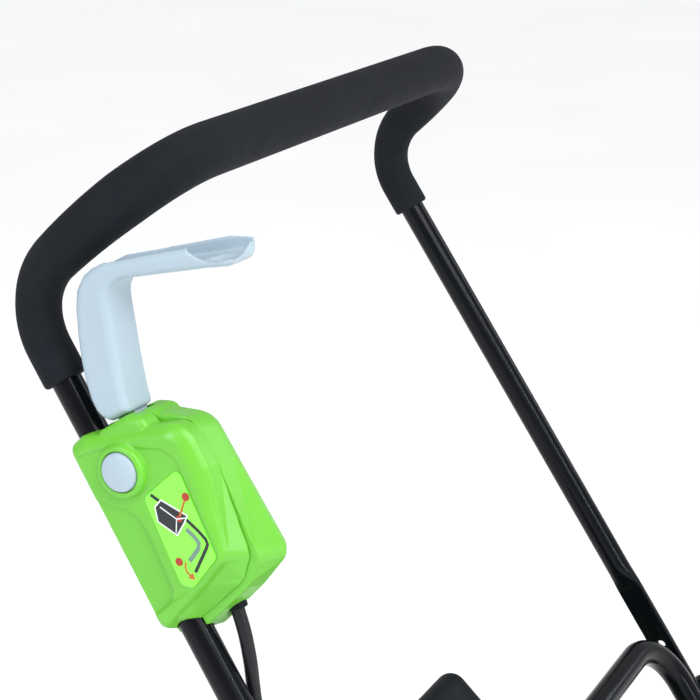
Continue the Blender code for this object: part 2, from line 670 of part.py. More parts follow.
# ================================================================ 17 mains inlet
inlet = leg_slab("inlet", rounded([(166.3, 26.3), (166.3, 53.7), (193.7, 53.7), (193.7, 26.3)], [3, 3, 3, 3], 2), BACK_N - 4.0, BACK_N + 7.6)
cut(inlet, leg_slab("c", rounded([(169, 29), (169, 51), (191, 51), (191, 29)], [2, 2, 2, 2], 2), BACK_N - 9, BACK_N + 4.5))
for s, w in ((175, 35), (175, 45), (185, 40)):
    join(inlet, leg_slab("p", [(s - 1, w - 2), (s - 1, w + 2), (s + 1, w + 2), (s + 1, w - 2)], BACK_N - 2.5, BACK_N + 6))
finish(inlet, "mains_inlet", "black_plastic")

# ================================================================ 18-19 box screws
for (s, w), word in zip(SCREWS, ("upper", "lower")):
    screw = lathe("sc", leg(s, w, BACK_N + 0.4), N, [(0, 2.2), (0.6, 3.2), (2.9, 3.2), (2.9, 1.5), (37.2, 1.5)], 12)
    finish(screw, "switch_screw_" + word, "steel")

# ================================================================ 20 gland, 21 cable
gland = sleeve("gl", gland_at, gland_dir, 21.0, 6.9, CABLE_R + 0.35, 16)
finish(gland, "box_cable_gland", "black_plastic")

HOOD_X = 68.0
HOOD_GLAND = (268.0, 325.0)     # y, z of the cable entry in the right side of the hood
cable_route = [
    gland_at + gland_dir * 2, gland_at + gland_dir * 12, gland_at + gland_dir * 23,
    leg(254, 20.4, -13.2), leg(271, 13.4, -13.8), leg(284, 6.4, -14.9), leg(298, 0.0, -15.3), leg(318, -3.6, -14.9),
    leg(345, -4.0, -14.8), leg(384, -4.1, -14.8), leg(396, -4.3, -14.8), leg(428, -9.0, -14.4), leg(455, -14.5, -13.8),
    leg(482, -17.8, -14.4), leg(512, -17.2, -17.0), leg(545, -13.8, -20.6), leg(578, -11.2, -22.1),
    leg(604, -10.8, -22.3), leg(622, -11.6, -23.4), leg(640, -14.0, -27.5),
]
cable_route += [Vector(p) for p in (
    (232, 339, 270), (203, 324, 262), (168, 305, 271), (134, 286, 297), (105, 271, 320),
    (HOOD_X + 18, HOOD_GLAND[0], HOOD_GLAND[1]), (HOOD_X + 11, HOOD_GLAND[0], HOOD_GLAND[1]), (HOOD_X - 8, HOOD_GLAND[0], HOOD_GLAND[1]))]


def smooth_line(points, per=3):
    """A smooth line through the points."""
    out = []
    p = [points[0]] + list(points) + [points[-1]]
    for i in range(1, len(p) - 2):
        for k in range(per):
            t = k / per
            a, b, c, d = p[i - 1], p[i], p[i + 1], p[i + 2]
            out.append(0.5 * ((2 * b) + (c - a) * t + (2 * a - 5 * b + 4 * c - d) * t * t
                              + (3 * b - a - 3 * c + d) * t ** 3))
    out.append(p[-2])
    return out


cable = pipe("cable", transported(smooth_line(cable_route, 2), (1, 0, 0)), round_at(CABLE_R, 8), None, 8)
finish(cable, "motor_cable", "rubber")

# ================================================================ 22-23 cable clips


def clip_section(at_w, at_n, tube_w, tube_n, tube_r, cable_r):
    """The outline of a clip across a leg: round the tube and round the cable."""
    out = []
    dw, dn = at_w - tube_w, at_n - tube_n
    lean, reach = math.atan2(dn, dw), math.hypot(dn, dw)
    for k in range(15):
        a = lean + math.radians(48) + math.radians(264) * k / 14
        out.append((tube_w + tube_r * math.cos(a), tube_n + tube_r * math.sin(a)))
    for k in range(9):
        a = lean - math.radians(80) + math.radians(160) * k / 8
        out.append((tube_w + reach * math.cos(lean) + cable_r * math.cos(a),
                    tube_n + reach * math.sin(lean) + cable_r * math.sin(a)))
    return out


def cable_clip(name, s, at, tube_at, tube_r):
    """A clip that snaps round the leg and holds the cable beside it."""
    def place(a, b, t):
        return leg(s + t, a, b)
    (cw, cn), (tw, tn) = at, tube_at
    clip = slab("clip", clip_section(cw, cn, tw, tn, tube_r + 2.3, CABLE_R + 2.3), -5, 5, place)
    cut(clip, cyl(leg(s - 9, tw, tn), U, 18, (tube_r + GAP) / math.cos(math.pi / 16) + 0.05, 16))
    cut(clip, cyl(leg(s - 9, cw, cn), U, 18, CABLE_R + 0.55, 12))
    d = Vector((tw - cw, tn - cn)).normalized()
    e = Vector((-d.y, d.x))
    gate = []
    for a, b in ((tube_r - 4, -4), (tube_r + 5, -4), (tube_r + 5, 4), (tube_r - 4, 4)):
        q = Vector((tw, tn)) + d * a + e * b
        gate.append((q.x, q.y))
    cut(clip, slab("gate", gate, -9, 9, place))
    finish(clip, name, "black_plastic")


cable_clip("cable_clip_upper", 345, (-4.0, -14.8), (0.0, 0.0), TUBE_R)
cable_clip("cable_clip_middle", 384, (-4.1, -14.8), (0.0, 0.0), TUBE_R)
cable_clip("cable_clip_lower", 604, (-10.8, -22.3), (FRAME_OFF, -FRAME_IN_OFF), FRAME_R)

# ================================================================ 25 motor hood, 26 motor housing
hood_side = rounded(
    [(142, 290.3), (152.6, 470.0), (300, 334), (370, 301), (404, 270.3)],
    [0, 13, 40, 46, 0], 5)
hood = slab("hood", hood_side, -HOOD_X, HOOD_X, side, 9.5, 9.5, 3)
hood_in = rounded([(145.4, 270), (155.9, 462.0), (298.5, 330.2), (367, 297.6), (399, 262)], [0, 10, 38, 42, 0], 4)
cut(hood, slab("c", hood_in, -HOOD_X + 3.2, HOOD_X - 3.2, side, 7, 7, 2))
for sgn in (1, -1):
    for k in range(4):
        y = 182 + k * 20
        z1 = 398 - (y - 170) * 0.72
        cut(hood, slab("v", rounded([(y - 3, 322), (y - 3, z1), (y + 3, z1 - 4), (y + 3, 322)], [0, 0, 0, 0], 2),
                       sgn * HOOD_X - 9, sgn * HOOD_X + 9, side))
cut(hood, cyl((HOOD_X - 10, HOOD_GLAND[0], HOOD_GLAND[1]), (1, 0, 0), 24, 7.4, 16))
for x in (-50, 50):
    join(hood, box((x - 5.5, 141.9, 292), (x + 5.5, 163.5, 310)))
    cut(hood, cyl((x, 158, 285), (0, 0, 1), 19.5, 2.2, 10))
finish(hood, "motor_hood", "black_plastic")

hood_gland = sleeve("hg", (HOOD_X - 5.5, HOOD_GLAND[0], HOOD_GLAND[1]), (1, 0, 0), 15, 7.0, CABLE_R + 0.35, 16)
finish(hood_gland, "motor_cable_gland", "black_plastic")

housing_side = rounded(
    [(141.5, 290), (403.8, 270), (408, 232), (394, 210.4), (158, 210.4), (144, 226)],
    [0, 0, 14, 12, 12, 10], 3)
housing = slab("housing", housing_side, -HOOD_X - 2, HOOD_X + 2, side, 9, 9, 2)
housing_in = rounded([(146, 305), (400, 296), (404, 234), (391.5, 215), (160, 215), (148, 228)], [0, 0, 12, 10, 10, 8], 2)
cut(housing, slab("c", housing_in, -HOOD_X + 2, HOOD_X - 2, side, 5, 5, 2))
for sgn in (1, -1):
    boss = lathe("boss", (sgn * 52, socket_y, socket_z), (sgn, 0, 0), [(0, 17.5), (29, 17.5), (32, 15.5)], 20)
    join(housing, boss)
for sgn in (1, -1):
    cut(housing, cyl((sgn * 56, socket_y, socket_z), (sgn, 0, 0), 40, FRAME_R + GAP + 0.2, 20))
    cut(housing, cyl((sgn * CLAMP_X, socket_y, socket_z - 24), (0, 0, 1), 48, 2.9, 12))
    cut(housing, cyl((sgn * 50, 158, 205), (0, 0, 1), 20, 4.2, 12))
cut(housing, cyl((0, MOTOR_Y, 200), (0, 0, 1), 30, 12.5, 24))
# Ears behind the housing carry the wheel arm.
for sgn in (1, -1):
    ear = slab("ear", rounded([(150, 226), (150, 256), (ARM_PIVOT_Y, ARM_PIVOT_Z + 13), (ARM_PIVOT_Y - 13, ARM_PIVOT_Z),
                               (ARM_PIVOT_Y, ARM_PIVOT_Z - 13)], [0, 0, 9, 9, 9], 3),
               sgn * 15.0 - 2.5, sgn * 15.0 + 2.5, side)
    join(housing, ear)
cut(housing, cyl((-30, ARM_PIVOT_Y, ARM_PIVOT_Z), (1, 0, 0), 60, 4.4, 16))
for sgn in (1, -1):
    for k in range(2):
        y = 300 + k * 26
        cut(housing, box((sgn * 70 - 8, y - 8, 238), (sgn * 70 + 8, y + 8, 243)))
finish(housing, "motor_housing", "green")

for sgn, word in ((1, "right"), (-1, "left")):
    hs = lathe("hs", (sgn * 50, 158, 211.0), (0, 0, 1), [(0, 2.4), (0.6, 3.7), (3.4, 3.7), (3.4, 1.9), (92, 1.9)], 12)
    finish(hs, "hood_screw_" + word, "steel")
    cb = lathe("cb", (sgn * CLAMP_X, socket_y, socket_z - 18.6), (0, 0, 1), [(-3.4, 5.0), (0.2, 5.0), (0.2, 2.5), (34.5, 2.5)], 12)
    finish(cb, "frame_clamp_bolt_" + word, "steel")

# ================================================================ motor
stator = sleeve("stator", (0, MOTOR_Y, 238), (0, 0, 1), 66, 43.0, 25.0, 24)
for q in range(4):
    a = math.radians(45 + 90 * q)
    # Feet that stand on the housing floor.
    join(stator, cyl((36 * math.cos(a), MOTOR_Y + 36 * math.sin(a), 215.4), (0, 0, 1), 26, 4.5, 10))
finish(stator, "motor_stator", "iron")

rotor = lathe("rotor", (0, MOTOR_Y, 0), (0, 0, 1),
              [(62.5, 5.0), (78, 5.0), (79, 7.9), (83, 6.9), (87, 7.9), (91, 6.9), (95, 7.9), (99, 6.9), (103, 7.9),
               (107, 6.9), (111, 7.9), (115, 6.9), (119, 7.9), (121, 6.0), (222.0, 6.0), (222.4, 22.0), (225.0, 22.0),
               (225.4, 6.0), (240, 6.0), (240.5, 23.8), (302, 23.8), (302.5, 15.0), (322, 15.0), (322.5, 6.0),
               (338, 6.0)], 14)
finish(rotor, "motor_rotor", "copper", (0, MOTOR_Y, 100))

upper_plate = sleeve("up", (0, MOTOR_Y, 326), (0, 0, 1), 8, 13.0, 6.3, 20, 1.0)
join(upper_plate, box((-5, MOTOR_Y - 40, 326.5), (5, MOTOR_Y - 10, 330.5)), box((-5, MOTOR_Y + 10, 326.5), (5, MOTOR_Y + 34, 330.5)))
join(upper_plate, box((-5, MOTOR_Y - 40, 304.5), (5, MOTOR_Y - 35, 330.5)), box((-5, MOTOR_Y + 29, 304.5), (5, MOTOR_Y + 34, 330.5)))
cut(upper_plate, cyl((0, MOTOR_Y, 320), (0, 0, 1), 20, 6.3, 20))
finish(upper_plate, "upper_motor_bearing", "alloy")
low_bearing = sleeve("lb", (0, MOTOR_Y, 203.5), (0, 0, 1), 13, 11.6, 6.3, 20, 0.6)
finish(low_bearing, "lower_motor_bearing", "alloy")

# ================================================================ gearbox
GEAR_HALF = 24.0
gear_side = rounded(
    [(214, 209.9), (214, 62), (228, 54), (300, 54), (318, 80), (318, 124), (298, 146), (258, 150), (258, 209.9)],
    [0, 12, 10, 30, 24, 24, 24, 14, 0], 3)
gear_in = rounded(
    [(221, 196), (221, 66), (233, 60), (297, 60), (312, 82), (312, 122), (294, 140), (250, 144), (249, 196)],
    [0, 8, 8, 24, 20, 20, 20, 8, 0], 2)
for sgn, word in ((1, "right"), (-1, "left")):
    lo, hi = (0.15, GEAR_HALF) if sgn > 0 else (-GEAR_HALF, -0.15)
    half = slab("g", gear_side, lo, hi, side, 0 if sgn > 0 else 5, 5 if sgn > 0 else 0, 2)
    a, b = (-1, 17.0) if sgn > 0 else (-17.0, 1)
    cut(half, slab("c", gear_in, a, b, side))
    join(half, lathe("boss", (sgn * 16.5, AXLE_Y, AXLE_Z), (sgn, 0, 0), [(0, 20), (12, 18.5), (12.8, 17.5)], 18))
    cut(half, cyl((sgn * 10, AXLE_Y, AXLE_Z), (sgn, 0, 0), 24, (AXLE_R + 0.08) / math.cos(math.pi / 20), 20))
    cut(half, cyl((0, MOTOR_Y, 190), (0, 0, 1), 30, 12.0, 16))
    cut(half, cyl((0, MOTOR_Y, 58), (0, 0, 1), 30, 5.7, 14))
    finish(half, "gearbox_half_" + word, "alloy")

teeth = 16
wheel_outline = []
for k in range(teeth):
    for da, r in ((-0.30, 27.0), (-0.16, 29.3), (0.16, 29.3), (0.30, 27.0)):
        a = 2 * math.pi * (k + da) / teeth
        wheel_outline.append((AXLE_Y + r * math.cos(a), AXLE_Z + r * math.sin(a)))
worm_wheel = slab("ww", wheel_outline, -7, 7, side)
join(worm_wheel, cyl((-14, AXLE_Y, AXLE_Z), (1, 0, 0), 28, 14, 24))
cut(worm_wheel, cyl((-20, AXLE_Y, AXLE_Z), (1, 0, 0), 40, (AXLE_R + 0.3) / math.cos(math.pi / 24), 24))
finish(worm_wheel, "worm_wheel", "bronze", (0, AXLE_Y, AXLE_Z))

# ================================================================ tine axle and rotors
AXLE_HALF = 165.0
axle = lathe("ax", (-AXLE_HALF, AXLE_Y, AXLE_Z), (1, 0, 0),
             [(0, AXLE_R - 1), (1, AXLE_R), (2 * AXLE_HALF - 1, AXLE_R), (2 * AXLE_HALF, AXLE_R - 1)], 24)
for x in (-154, 154):
    cut(axle, cyl((x, AXLE_Y, AXLE_Z - 12), (0, 0, 1), 24, 2.6, 10))
finish(axle, "tine_axle", "steel", (0, AXLE_Y, AXLE_Z))

HUB_R = 13.5


def tine_blade(x0, angle, bend):
    """One curved blade with a bent tip, from the hub out to TINE_R."""
    rings = []
    steps = 6
    for k in range(steps + 1):
        t = k / steps
        r = 11.0 + (TINE_R - 11.0) * t
        swing = 0.50 * t ** 1.6
        half_w = (15.5 - 6.5 * t) * (1.0 if t < 0.95 else 0.7)
        lean = bend * max(0.0, (t - 0.42) / 0.58) ** 1.4
        a = angle + swing
        if k == steps:
            r = TINE_R
        cy, cz = AXLE_Y + r * math.cos(a), AXLE_Z + r * math.sin(a)
        # across the blade, in the turning plane
        heading = a + math.atan(r * 0.5 * 1.6 * t ** 0.6 / (TINE_R - 11.0)) * 0.8
        ty, tz = -math.sin(heading), math.cos(heading)
        x = x0 + lean
        th = 2.1 - 0.9 * t
        pts4 = []
        for sa, sb in ((-1, -1), (1, -1), (1, 1), (-1, 1)):
            py, pz = cy + ty * half_w * sa, cz + tz * half_w * sa
            rr = math.hypot(py - AXLE_Y, pz - AXLE_Z)
            if rr > TINE_R:
                py = AXLE_Y + (py - AXLE_Y) * TINE_R / rr
                pz = AXLE_Z + (pz - AXLE_Z) * TINE_R / rr
            pts4.append(Vector((x + sb * th, py, pz)))
        rings.append(pts4)
    return ring_solid("blade", rings)


def tine_rotor(name, x_lo, x_hi, x_star, turn, flip, pin_x=None):
    hub = sleeve(name, (x_lo, AXLE_Y, AXLE_Z), (1, 0, 0), x_hi - x_lo, HUB_R, (AXLE_R + 0.3) / math.cos(math.pi / 16), 16)
    star = cyl((x_star - 2.2, AXLE_Y, AXLE_Z), (1, 0, 0), 4.4, 25, 16)
    for q in range(4):
        join(star, tine_blade(x_star, turn + math.pi / 2 * q, (20 if q % 2 else -20) * flip))
    cut(star, cyl((x_star - 20, AXLE_Y, AXLE_Z), (1, 0, 0), 40, HUB_R - 1.0, 16))
    join(hub, star)
    if pin_x is not None:
        cut(hub, cyl((pin_x, AXLE_Y, AXLE_Z - 20), (0, 0, 1), 40, 2.6, 10))
    finish(hub, name, "tine_paint", (0, AXLE_Y, AXLE_Z))


REACH = -0.5
for sgn, word in ((1, "right"), (-1, "left")):
    lo, hi = sorted((sgn * 30.0, sgn * 96.0))
    tine_rotor("inner_tine_" + word, lo, hi, sgn * 62.0, -math.pi / 2 + REACH, sgn)
    lo, hi = sorted((sgn * 96.3, sgn * 162.0))
    tine_rotor("outer_tine_" + word, lo, hi, sgn * 128.0, -math.pi / 2 + REACH + math.pi / 4, sgn, sgn * 154.0)
    lock = lathe("lock", (sgn * 154.0, AXLE_Y, AXLE_Z - 18.5), (0, 0, 1), [(0, 1.8), (0.6, 2.25), (33.5, 2.25), (33.5, 5.0), (36.5, 5.0), (37.0, 4.4)], 10)
    finish(lock, "tine_pin_" + word, "steel")

# ================================================================ tine guard
GUARD_R = 108.0
guard_line = []
lo_a, hi_a, seg = math.radians(20), math.radians(157), 14
for k in range(seg + 1):
    a = lo_a + (hi_a - lo_a) * k / seg
    guard_line.append((AXLE_Y + (GUARD_R + 2) * math.cos(a), AXLE_Z + (GUARD_R + 2) * math.sin(a)))
for k in range(seg, -1, -1):
    a = lo_a + (hi_a - lo_a) * k / seg
    guard_line.append((AXLE_Y + GUARD_R * math.cos(a), AXLE_Z + GUARD_R * math.sin(a)))
guard = slab("guard", guard_line, -172, 172, side)
for sgn in (1, -1):
    edge = []
    for k in range(seg + 1):
        a = lo_a + (hi_a - lo_a) * k / seg
        edge.append((AXLE_Y + (GUARD_R + 2) * math.cos(a), AXLE_Z + (GUARD_R + 2) * math.sin(a)))
    for k in range(seg, -1, -1):
        a = lo_a + (hi_a - lo_a) * k / seg
        edge.append((AXLE_Y + (GUARD_R - 5) * math.cos(a), AXLE_Z + (GUARD_R - 5) * math.sin(a)))
    lo, hi = sorted((sgn * 171.0, sgn * 174.0))
    join(guard, slab("rim", edge, lo, hi, side))
cut(guard, box((-GEAR_HALF - 1, 212, 180), (GEAR_HALF + 1, 260, 230)))
finish(guard, "tine_guard", "black_plastic")

# ================================================================ wheel arm
arm_dir = Vector((0, WHEEL_Y - ARM_PIVOT_Y, WHEEL_R - ARM_PIVOT_Z))
along = unit(arm_dir)
across = Vector((0, -along.z, along.y))


def arm_outline(pad0, pad1, half):
    """Side view of the arm between its pivot and the wheel axle."""
    p = Vector((0, ARM_PIVOT_Y, ARM_PIVOT_Z))
    q = Vector((0, WHEEL_Y, WHEEL_R))
    out = []
    for k in range(9):
        a = math.pi * k / 8
        v = p + (across * math.cos(a) - along * math.sin(a)) * pad0
        out.append((v.y, v.z))
    for k in range(9):
        a = math.pi * k / 8
        v = q + (-across * math.cos(a) + along * math.sin(a)) * pad1
        out.append((v.y, v.z))
    return out


arm = slab("arm", arm_outline(12.0, 13.0, 8), -12.2, 12.2, side, 2, 2, 2)
slot0 = Vector((0, ARM_PIVOT_Y, ARM_PIVOT_Z)) + along * 34
slot1 = Vector((0, WHEEL_Y, WHEEL_R)) - along * 30
pocket = []
for v, sa in ((slot0, 1), (slot1, 1), (slot1, -1), (slot0, -1)):
    e = v + across * 7.5 * sa
    pocket.append((e.y, e.z))
cut(arm, slab("c", rounded(pocket, [5] * 4, 3), 4, 20, side), slab("c", rounded(pocket, [5] * 4, 3), -20, -4, side))
cut(arm, cyl((-20, ARM_PIVOT_Y, ARM_PIVOT_Z), (1, 0, 0), 40, (4.0 + 0.08) / math.cos(math.pi / 20), 20))
join(arm, cyl((-34, WHEEL_Y, WHEEL_R), (1, 0, 0), 68, 11, 20))
cut(arm, cyl((-40, WHEEL_Y, WHEEL_R), (1, 0, 0), 80, (6.0 + GAP) / math.cos(math.pi / 20), 20))
finish(arm, "wheel_arm", "black_plastic", (0, ARM_PIVOT_Y, ARM_PIVOT_Z))

arm_bolt = lathe("ab", (-18.0, ARM_PIVOT_Y, ARM_PIVOT_Z), (1, 0, 0), [(-5.0, 6.8), (-0.2, 6.8), (-0.2, 4.0), (45.6, 4.0), (46.2, 3.5)], 20)
finish(arm_bolt, "wheel_arm_bolt", "steel")
arm_knob = lathe("ak", (18.0, ARM_PIVOT_Y, ARM_PIVOT_Z), (1, 0, 0), [(0, 9.0), (8, 10), (13, 9), (15.4, 6.5)], 16)
for q in range(2):
    a = math.radians(30 + 180 * q)
    join(arm_knob, lathe("w", (21.0, ARM_PIVOT_Y + 11 * math.cos(a), ARM_PIVOT_Z + 11 * math.sin(a)), (1, 0, 0),
                         [(0, 6.4), (8.0, 6.6), (9.2, 5.8)], 12))
cut(arm_knob, cyl((12, ARM_PIVOT_Y, ARM_PIVOT_Z), (1, 0, 0), 30, 4.35, 20))
finish(arm_knob, "wheel_arm_knob", "black_plastic", (18.0, ARM_PIVOT_Y, ARM_PIVOT_Z))

wheel_axle = lathe("wa", (-130, WHEEL_Y, WHEEL_R), (1, 0, 0), [(0, 5.2), (0.8, 6.0), (259.2, 6.0), (260, 5.2)], 24)
finish(wheel_axle, "wheel_axle", "steel")

for sgn, word in ((1, "right"), (-1, "left")):
    x0 = sgn * (WHEEL_X - 17.0)
    wheel = lathe("wh", (x0, WHEEL_Y, WHEEL_R), (sgn, 0, 0),
                  [(0, 14), (3.5, 15), (4.5, 62.0), (7.5, 68.0), (12, WHEEL_R), (22, WHEEL_R), (26.5, 68.0),
                   (29.5, 62.0), (30.5, 15), (34, 14)], 28, 0.0)
    for lo, hi in ((-1, 11.0), (23.0, 35)):
        # dished sides between hub and rim
        ring = sleeve("dish", (x0 + sgn * lo, WHEEL_Y, WHEEL_R), (sgn, 0, 0), hi - lo, 52, 18, 16)
        cut(wheel, ring)
    for q in range(5):
        a = 2 * math.pi * (q + 0.25) / 5
        cut(wheel, cyl((x0 - sgn * 5, WHEEL_Y + 34 * math.cos(a), WHEEL_R + 34 * math.sin(a)), (sgn, 0, 0), 44, 9.5, 6))
    cut(wheel, cyl((x0 - sgn * 5, WHEEL_Y, WHEEL_R), (sgn, 0, 0), 50, (6.0 + 0.08) / math.cos(math.pi / 24), 24))
    finish(wheel, "wheel_" + word, "black_plastic", (sgn * WHEEL_X, WHEEL_Y, WHEEL_R))
    cap = lathe("cap", (sgn * (WHEEL_X + 17.4), WHEEL_Y, WHEEL_R), (sgn, 0, 0), [(0, 9), (4, 9.4), (6.2, 7.5), (7.4, 4.0)], 20)
    cut(cap, cyl((sgn * (WHEEL_X + 15), WHEEL_Y, WHEEL_R), (sgn, 0, 0), 7.6, 6.35, 20))
    finish(cap, "wheel_cap_" + word, "steel", (sgn * WHEEL_X, WHEEL_Y, WHEEL_R))
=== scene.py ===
"""The looks of the mini cultivator: every visible piece is rebuilt finely over
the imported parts, with its own procedural material, studio light and camera.

Metres in the scene; the pieces are laid out in millimetres and scaled."""

import json
import math

import bpy
import bmesh
from mathutils import Matrix, Vector


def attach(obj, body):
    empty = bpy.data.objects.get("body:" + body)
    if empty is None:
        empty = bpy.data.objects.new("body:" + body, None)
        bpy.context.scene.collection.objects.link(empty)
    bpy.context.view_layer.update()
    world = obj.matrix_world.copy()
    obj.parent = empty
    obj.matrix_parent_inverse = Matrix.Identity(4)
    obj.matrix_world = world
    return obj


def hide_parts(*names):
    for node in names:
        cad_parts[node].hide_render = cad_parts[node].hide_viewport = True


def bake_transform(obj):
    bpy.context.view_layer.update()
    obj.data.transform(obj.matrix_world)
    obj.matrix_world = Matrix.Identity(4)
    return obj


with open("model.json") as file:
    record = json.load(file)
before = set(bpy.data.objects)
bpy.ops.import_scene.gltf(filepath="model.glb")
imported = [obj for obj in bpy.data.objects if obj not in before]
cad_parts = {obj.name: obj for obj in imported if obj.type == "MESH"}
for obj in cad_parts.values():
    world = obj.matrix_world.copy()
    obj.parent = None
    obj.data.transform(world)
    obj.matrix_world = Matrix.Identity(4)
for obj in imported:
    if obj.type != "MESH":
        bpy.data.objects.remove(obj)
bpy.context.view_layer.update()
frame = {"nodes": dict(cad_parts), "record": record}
ROUND = 3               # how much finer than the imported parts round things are


# ---------------------------------------------------------------- camera
cam_data = bpy.data.cameras.new("camera")
camera = bpy.data.objects.new("camera", cam_data)
bpy.context.scene.collection.objects.link(camera)
eye = Vector((1.13284, 0.48097, 1.15506))
across_v = Vector((-0.45461, 0.89069, 0.00072))
down_v = Vector((0.27933, 0.14334, -0.94944))
ahead_v = Vector((-0.84576, -0.43142, -0.31396))
camera.matrix_world = Matrix((
    (across_v.x, -down_v.x, -ahead_v.x, eye.x),
    (across_v.y, -down_v.y, -ahead_v.y, eye.y),
    (across_v.z, -down_v.z, -ahead_v.z, eye.z),
    (0, 0, 0, 1)))
cam_data.sensor_width = 36.0
cam_data.lens = 93.73
cam_data.clip_start = 0.05
cam_data.clip_end = 50.0
bpy.context.scene.camera = camera

# ---------------------------------------------------------------- light and floor
world = bpy.data.worlds.new("studio")
bpy.context.scene.world = world
world.use_nodes = True
world.node_tree.nodes["Background"].inputs[0].default_value = (0.97, 0.985, 1.0, 1)
world.node_tree.nodes["Background"].inputs[1].default_value = 0.50
bpy.context.scene.view_settings.view_transform = "Standard"
bpy.context.scene.view_settings.look = "None"


def lamp(name, at, target, size, power, colour=(1, 1, 1), size_y=None):
    data = bpy.data.lights.new(name, "AREA")
    data.energy = power
    data.color = colour
    data.size = size
    if size_y:
        data.shape = "RECTANGLE"
        data.size_y = size_y
    obj = bpy.data.objects.new(name, data)
    obj.location = at
    obj.rotation_euler = (Vector(target) - Vector(at)).to_track_quat("-Z", "Y").to_euler()
    bpy.context.scene.collection.objects.link(obj)
    return obj


def sun(name, towards, strength, angle):
    data = bpy.data.lights.new(name, "SUN")
    data.energy = strength
    data.angle = math.radians(angle)
    obj = bpy.data.objects.new(name, data)
    obj.location = (0, 0, 4)
    obj.rotation_euler = Vector(towards).to_track_quat("-Z", "Y").to_euler()
    bpy.context.scene.collection.objects.link(obj)
    return obj


sun("broad_light", (-0.42, -0.75, -1.35), 1.9, 42)
lamp("key_light", (1.3, 2.1, 2.3), (0.15, 0, 0.65), 0.9, 20, (1.0, 0.995, 0.985))
lamp("left_strip", (2.3, -1.1, 1.7), (0.2, 0, 0.6), 0.12, 26, (0.82, 0.90, 1.0), 2.0)
lamp("right_strip", (0.3, 2.4, 1.5), (0.0, 0, 0.6), 0.10, 20, (0.86, 0.93, 1.0), 2.0)
lamp("back_strip", (-1.9, 1.2, 1.8), (0, 0, 0.6), 0.2, 8, (0.88, 0.93, 1.0), 1.8)

floor_mesh = bpy.data.meshes.new("floor")
floor_steps = 24
fv, ff = [], []
for i in range(floor_steps + 1):
    r = 34.0 * (i / floor_steps) ** 2
    for j in range(48):
        a = 2 * math.pi * j / 48
        fv.append((r * math.cos(a), r * math.sin(a), -0.0008))
for i in range(floor_steps):
    for j in range(48):
        k = (j + 1) % 48
        ff.append((i * 48 + j, (i + 1) * 48 + j, (i + 1) * 48 + k, i * 48 + k))
floor_mesh.from_pydata(fv, [], ff)
floor = bpy.data.objects.new("floor", floor_mesh)
bpy.context.scene.collection.objects.link(floor)

# ---------------------------------------------------------------- dimensions
MM = 0.001
Y_SHIFT = -199.7        # moves the machine so that its box is centred on y = 0
BEND_Z = 830.0          # height of the corner between leg and grip section
HALF_W = 251.55         # half the distance between the two leg corners
LEG_RISE = 0.9952       # rad, slope of the legs above the horizontal
GRIP_RISE = 0.7701      # rad, slope of the short grip sections
SPLAY = 0.0360          # rad, each leg leans out by this much going down
GRIP_LEN = 121.45       # corner of leg to corner of crossbar
R_LEG_BEND = 46.95
R_GRIP_BEND = 85.1
TUBE_R = 10.0
TUBE_IN = 8.7
LEG_END = 590.0         # length of a leg from its corner
FLAT_FROM = 420.0       # the leg is pressed flat beyond this
FLAT_HALF_T = 3.0
FLAT_HALF_W = 11.0
SPARE_HOLE_S = 500.5
BOLT_S = 562.0
FOAM_END_S = 61.0
FOAM_LEG_R = 14.5
FOAM_BAR_R = 17.85
GAP = 0.3

FRAME_R = 11.0
FRAME_IN = 9.5
FRAME_TOP_S = 485.8
FRAME_OFF = 4.5         # forward of the leg axis
FRAME_IN_OFF = 15.2     # inboard of the leg axis
FRAME_BEND_R = 52.0
FRAME_END_S = 690.0
FRAME_FOOT_R = 48.0

AXLE_Y, AXLE_Z = 273.0, 100.0
TINE_R = 100.0
AXLE_R = 9.0
MOTOR_Y = 235.0
WHEEL_R = 70.0
WHEEL_Y = 62.0
WHEEL_X = 108.0
ARM_PIVOT_Y, ARM_PIVOT_Z = 121.0, 238.0

# ---------------------------------------------------------------- materials
def new_material(name):
    mat = bpy.data.materials.new(name)
    mat.use_nodes = True
    tree = mat.node_tree
    return mat, tree, tree.nodes["Principled BSDF"]


def node(tree, kind, **values):
    made = tree.nodes.new(kind)
    for key, value in values.items():
        setattr(made, key, value)
    return made


def noise(tree, coords, scale, detail=4.0, rough=0.55, stretch=(1, 1, 1)):
    mapping = node(tree, "ShaderNodeMapping")
    mapping.inputs["Scale"].default_value = stretch
    tree.links.new(coords, mapping.inputs["Vector"])
    made = node(tree, "ShaderNodeTexNoise")
    made.inputs["Scale"].default_value = scale
    made.inputs["Detail"].default_value = detail
    made.inputs["Roughness"].default_value = rough
    tree.links.new(mapping.outputs["Vector"], made.inputs["Vector"])
    return made.outputs["Fac"]


def ramp(tree, fac, stops):
    made = node(tree, "ShaderNodeValToRGB")
    bar = made.color_ramp
    while len(bar.elements) < len(stops):
        bar.elements.new(0.5)
    for element, (at, colour) in zip(bar.elements, stops):
        element.position = at
        element.color = colour if len(colour) == 4 else (*colour, 1)
    tree.links.new(fac, made.inputs["Fac"])
    return made.outputs["Color"]


def grey(v):
    return (v, v, v, 1)


def scaled(c, k):
    return (min(1, c[0] * k), min(1, c[1] * k), min(1, c[2] * k), 1)


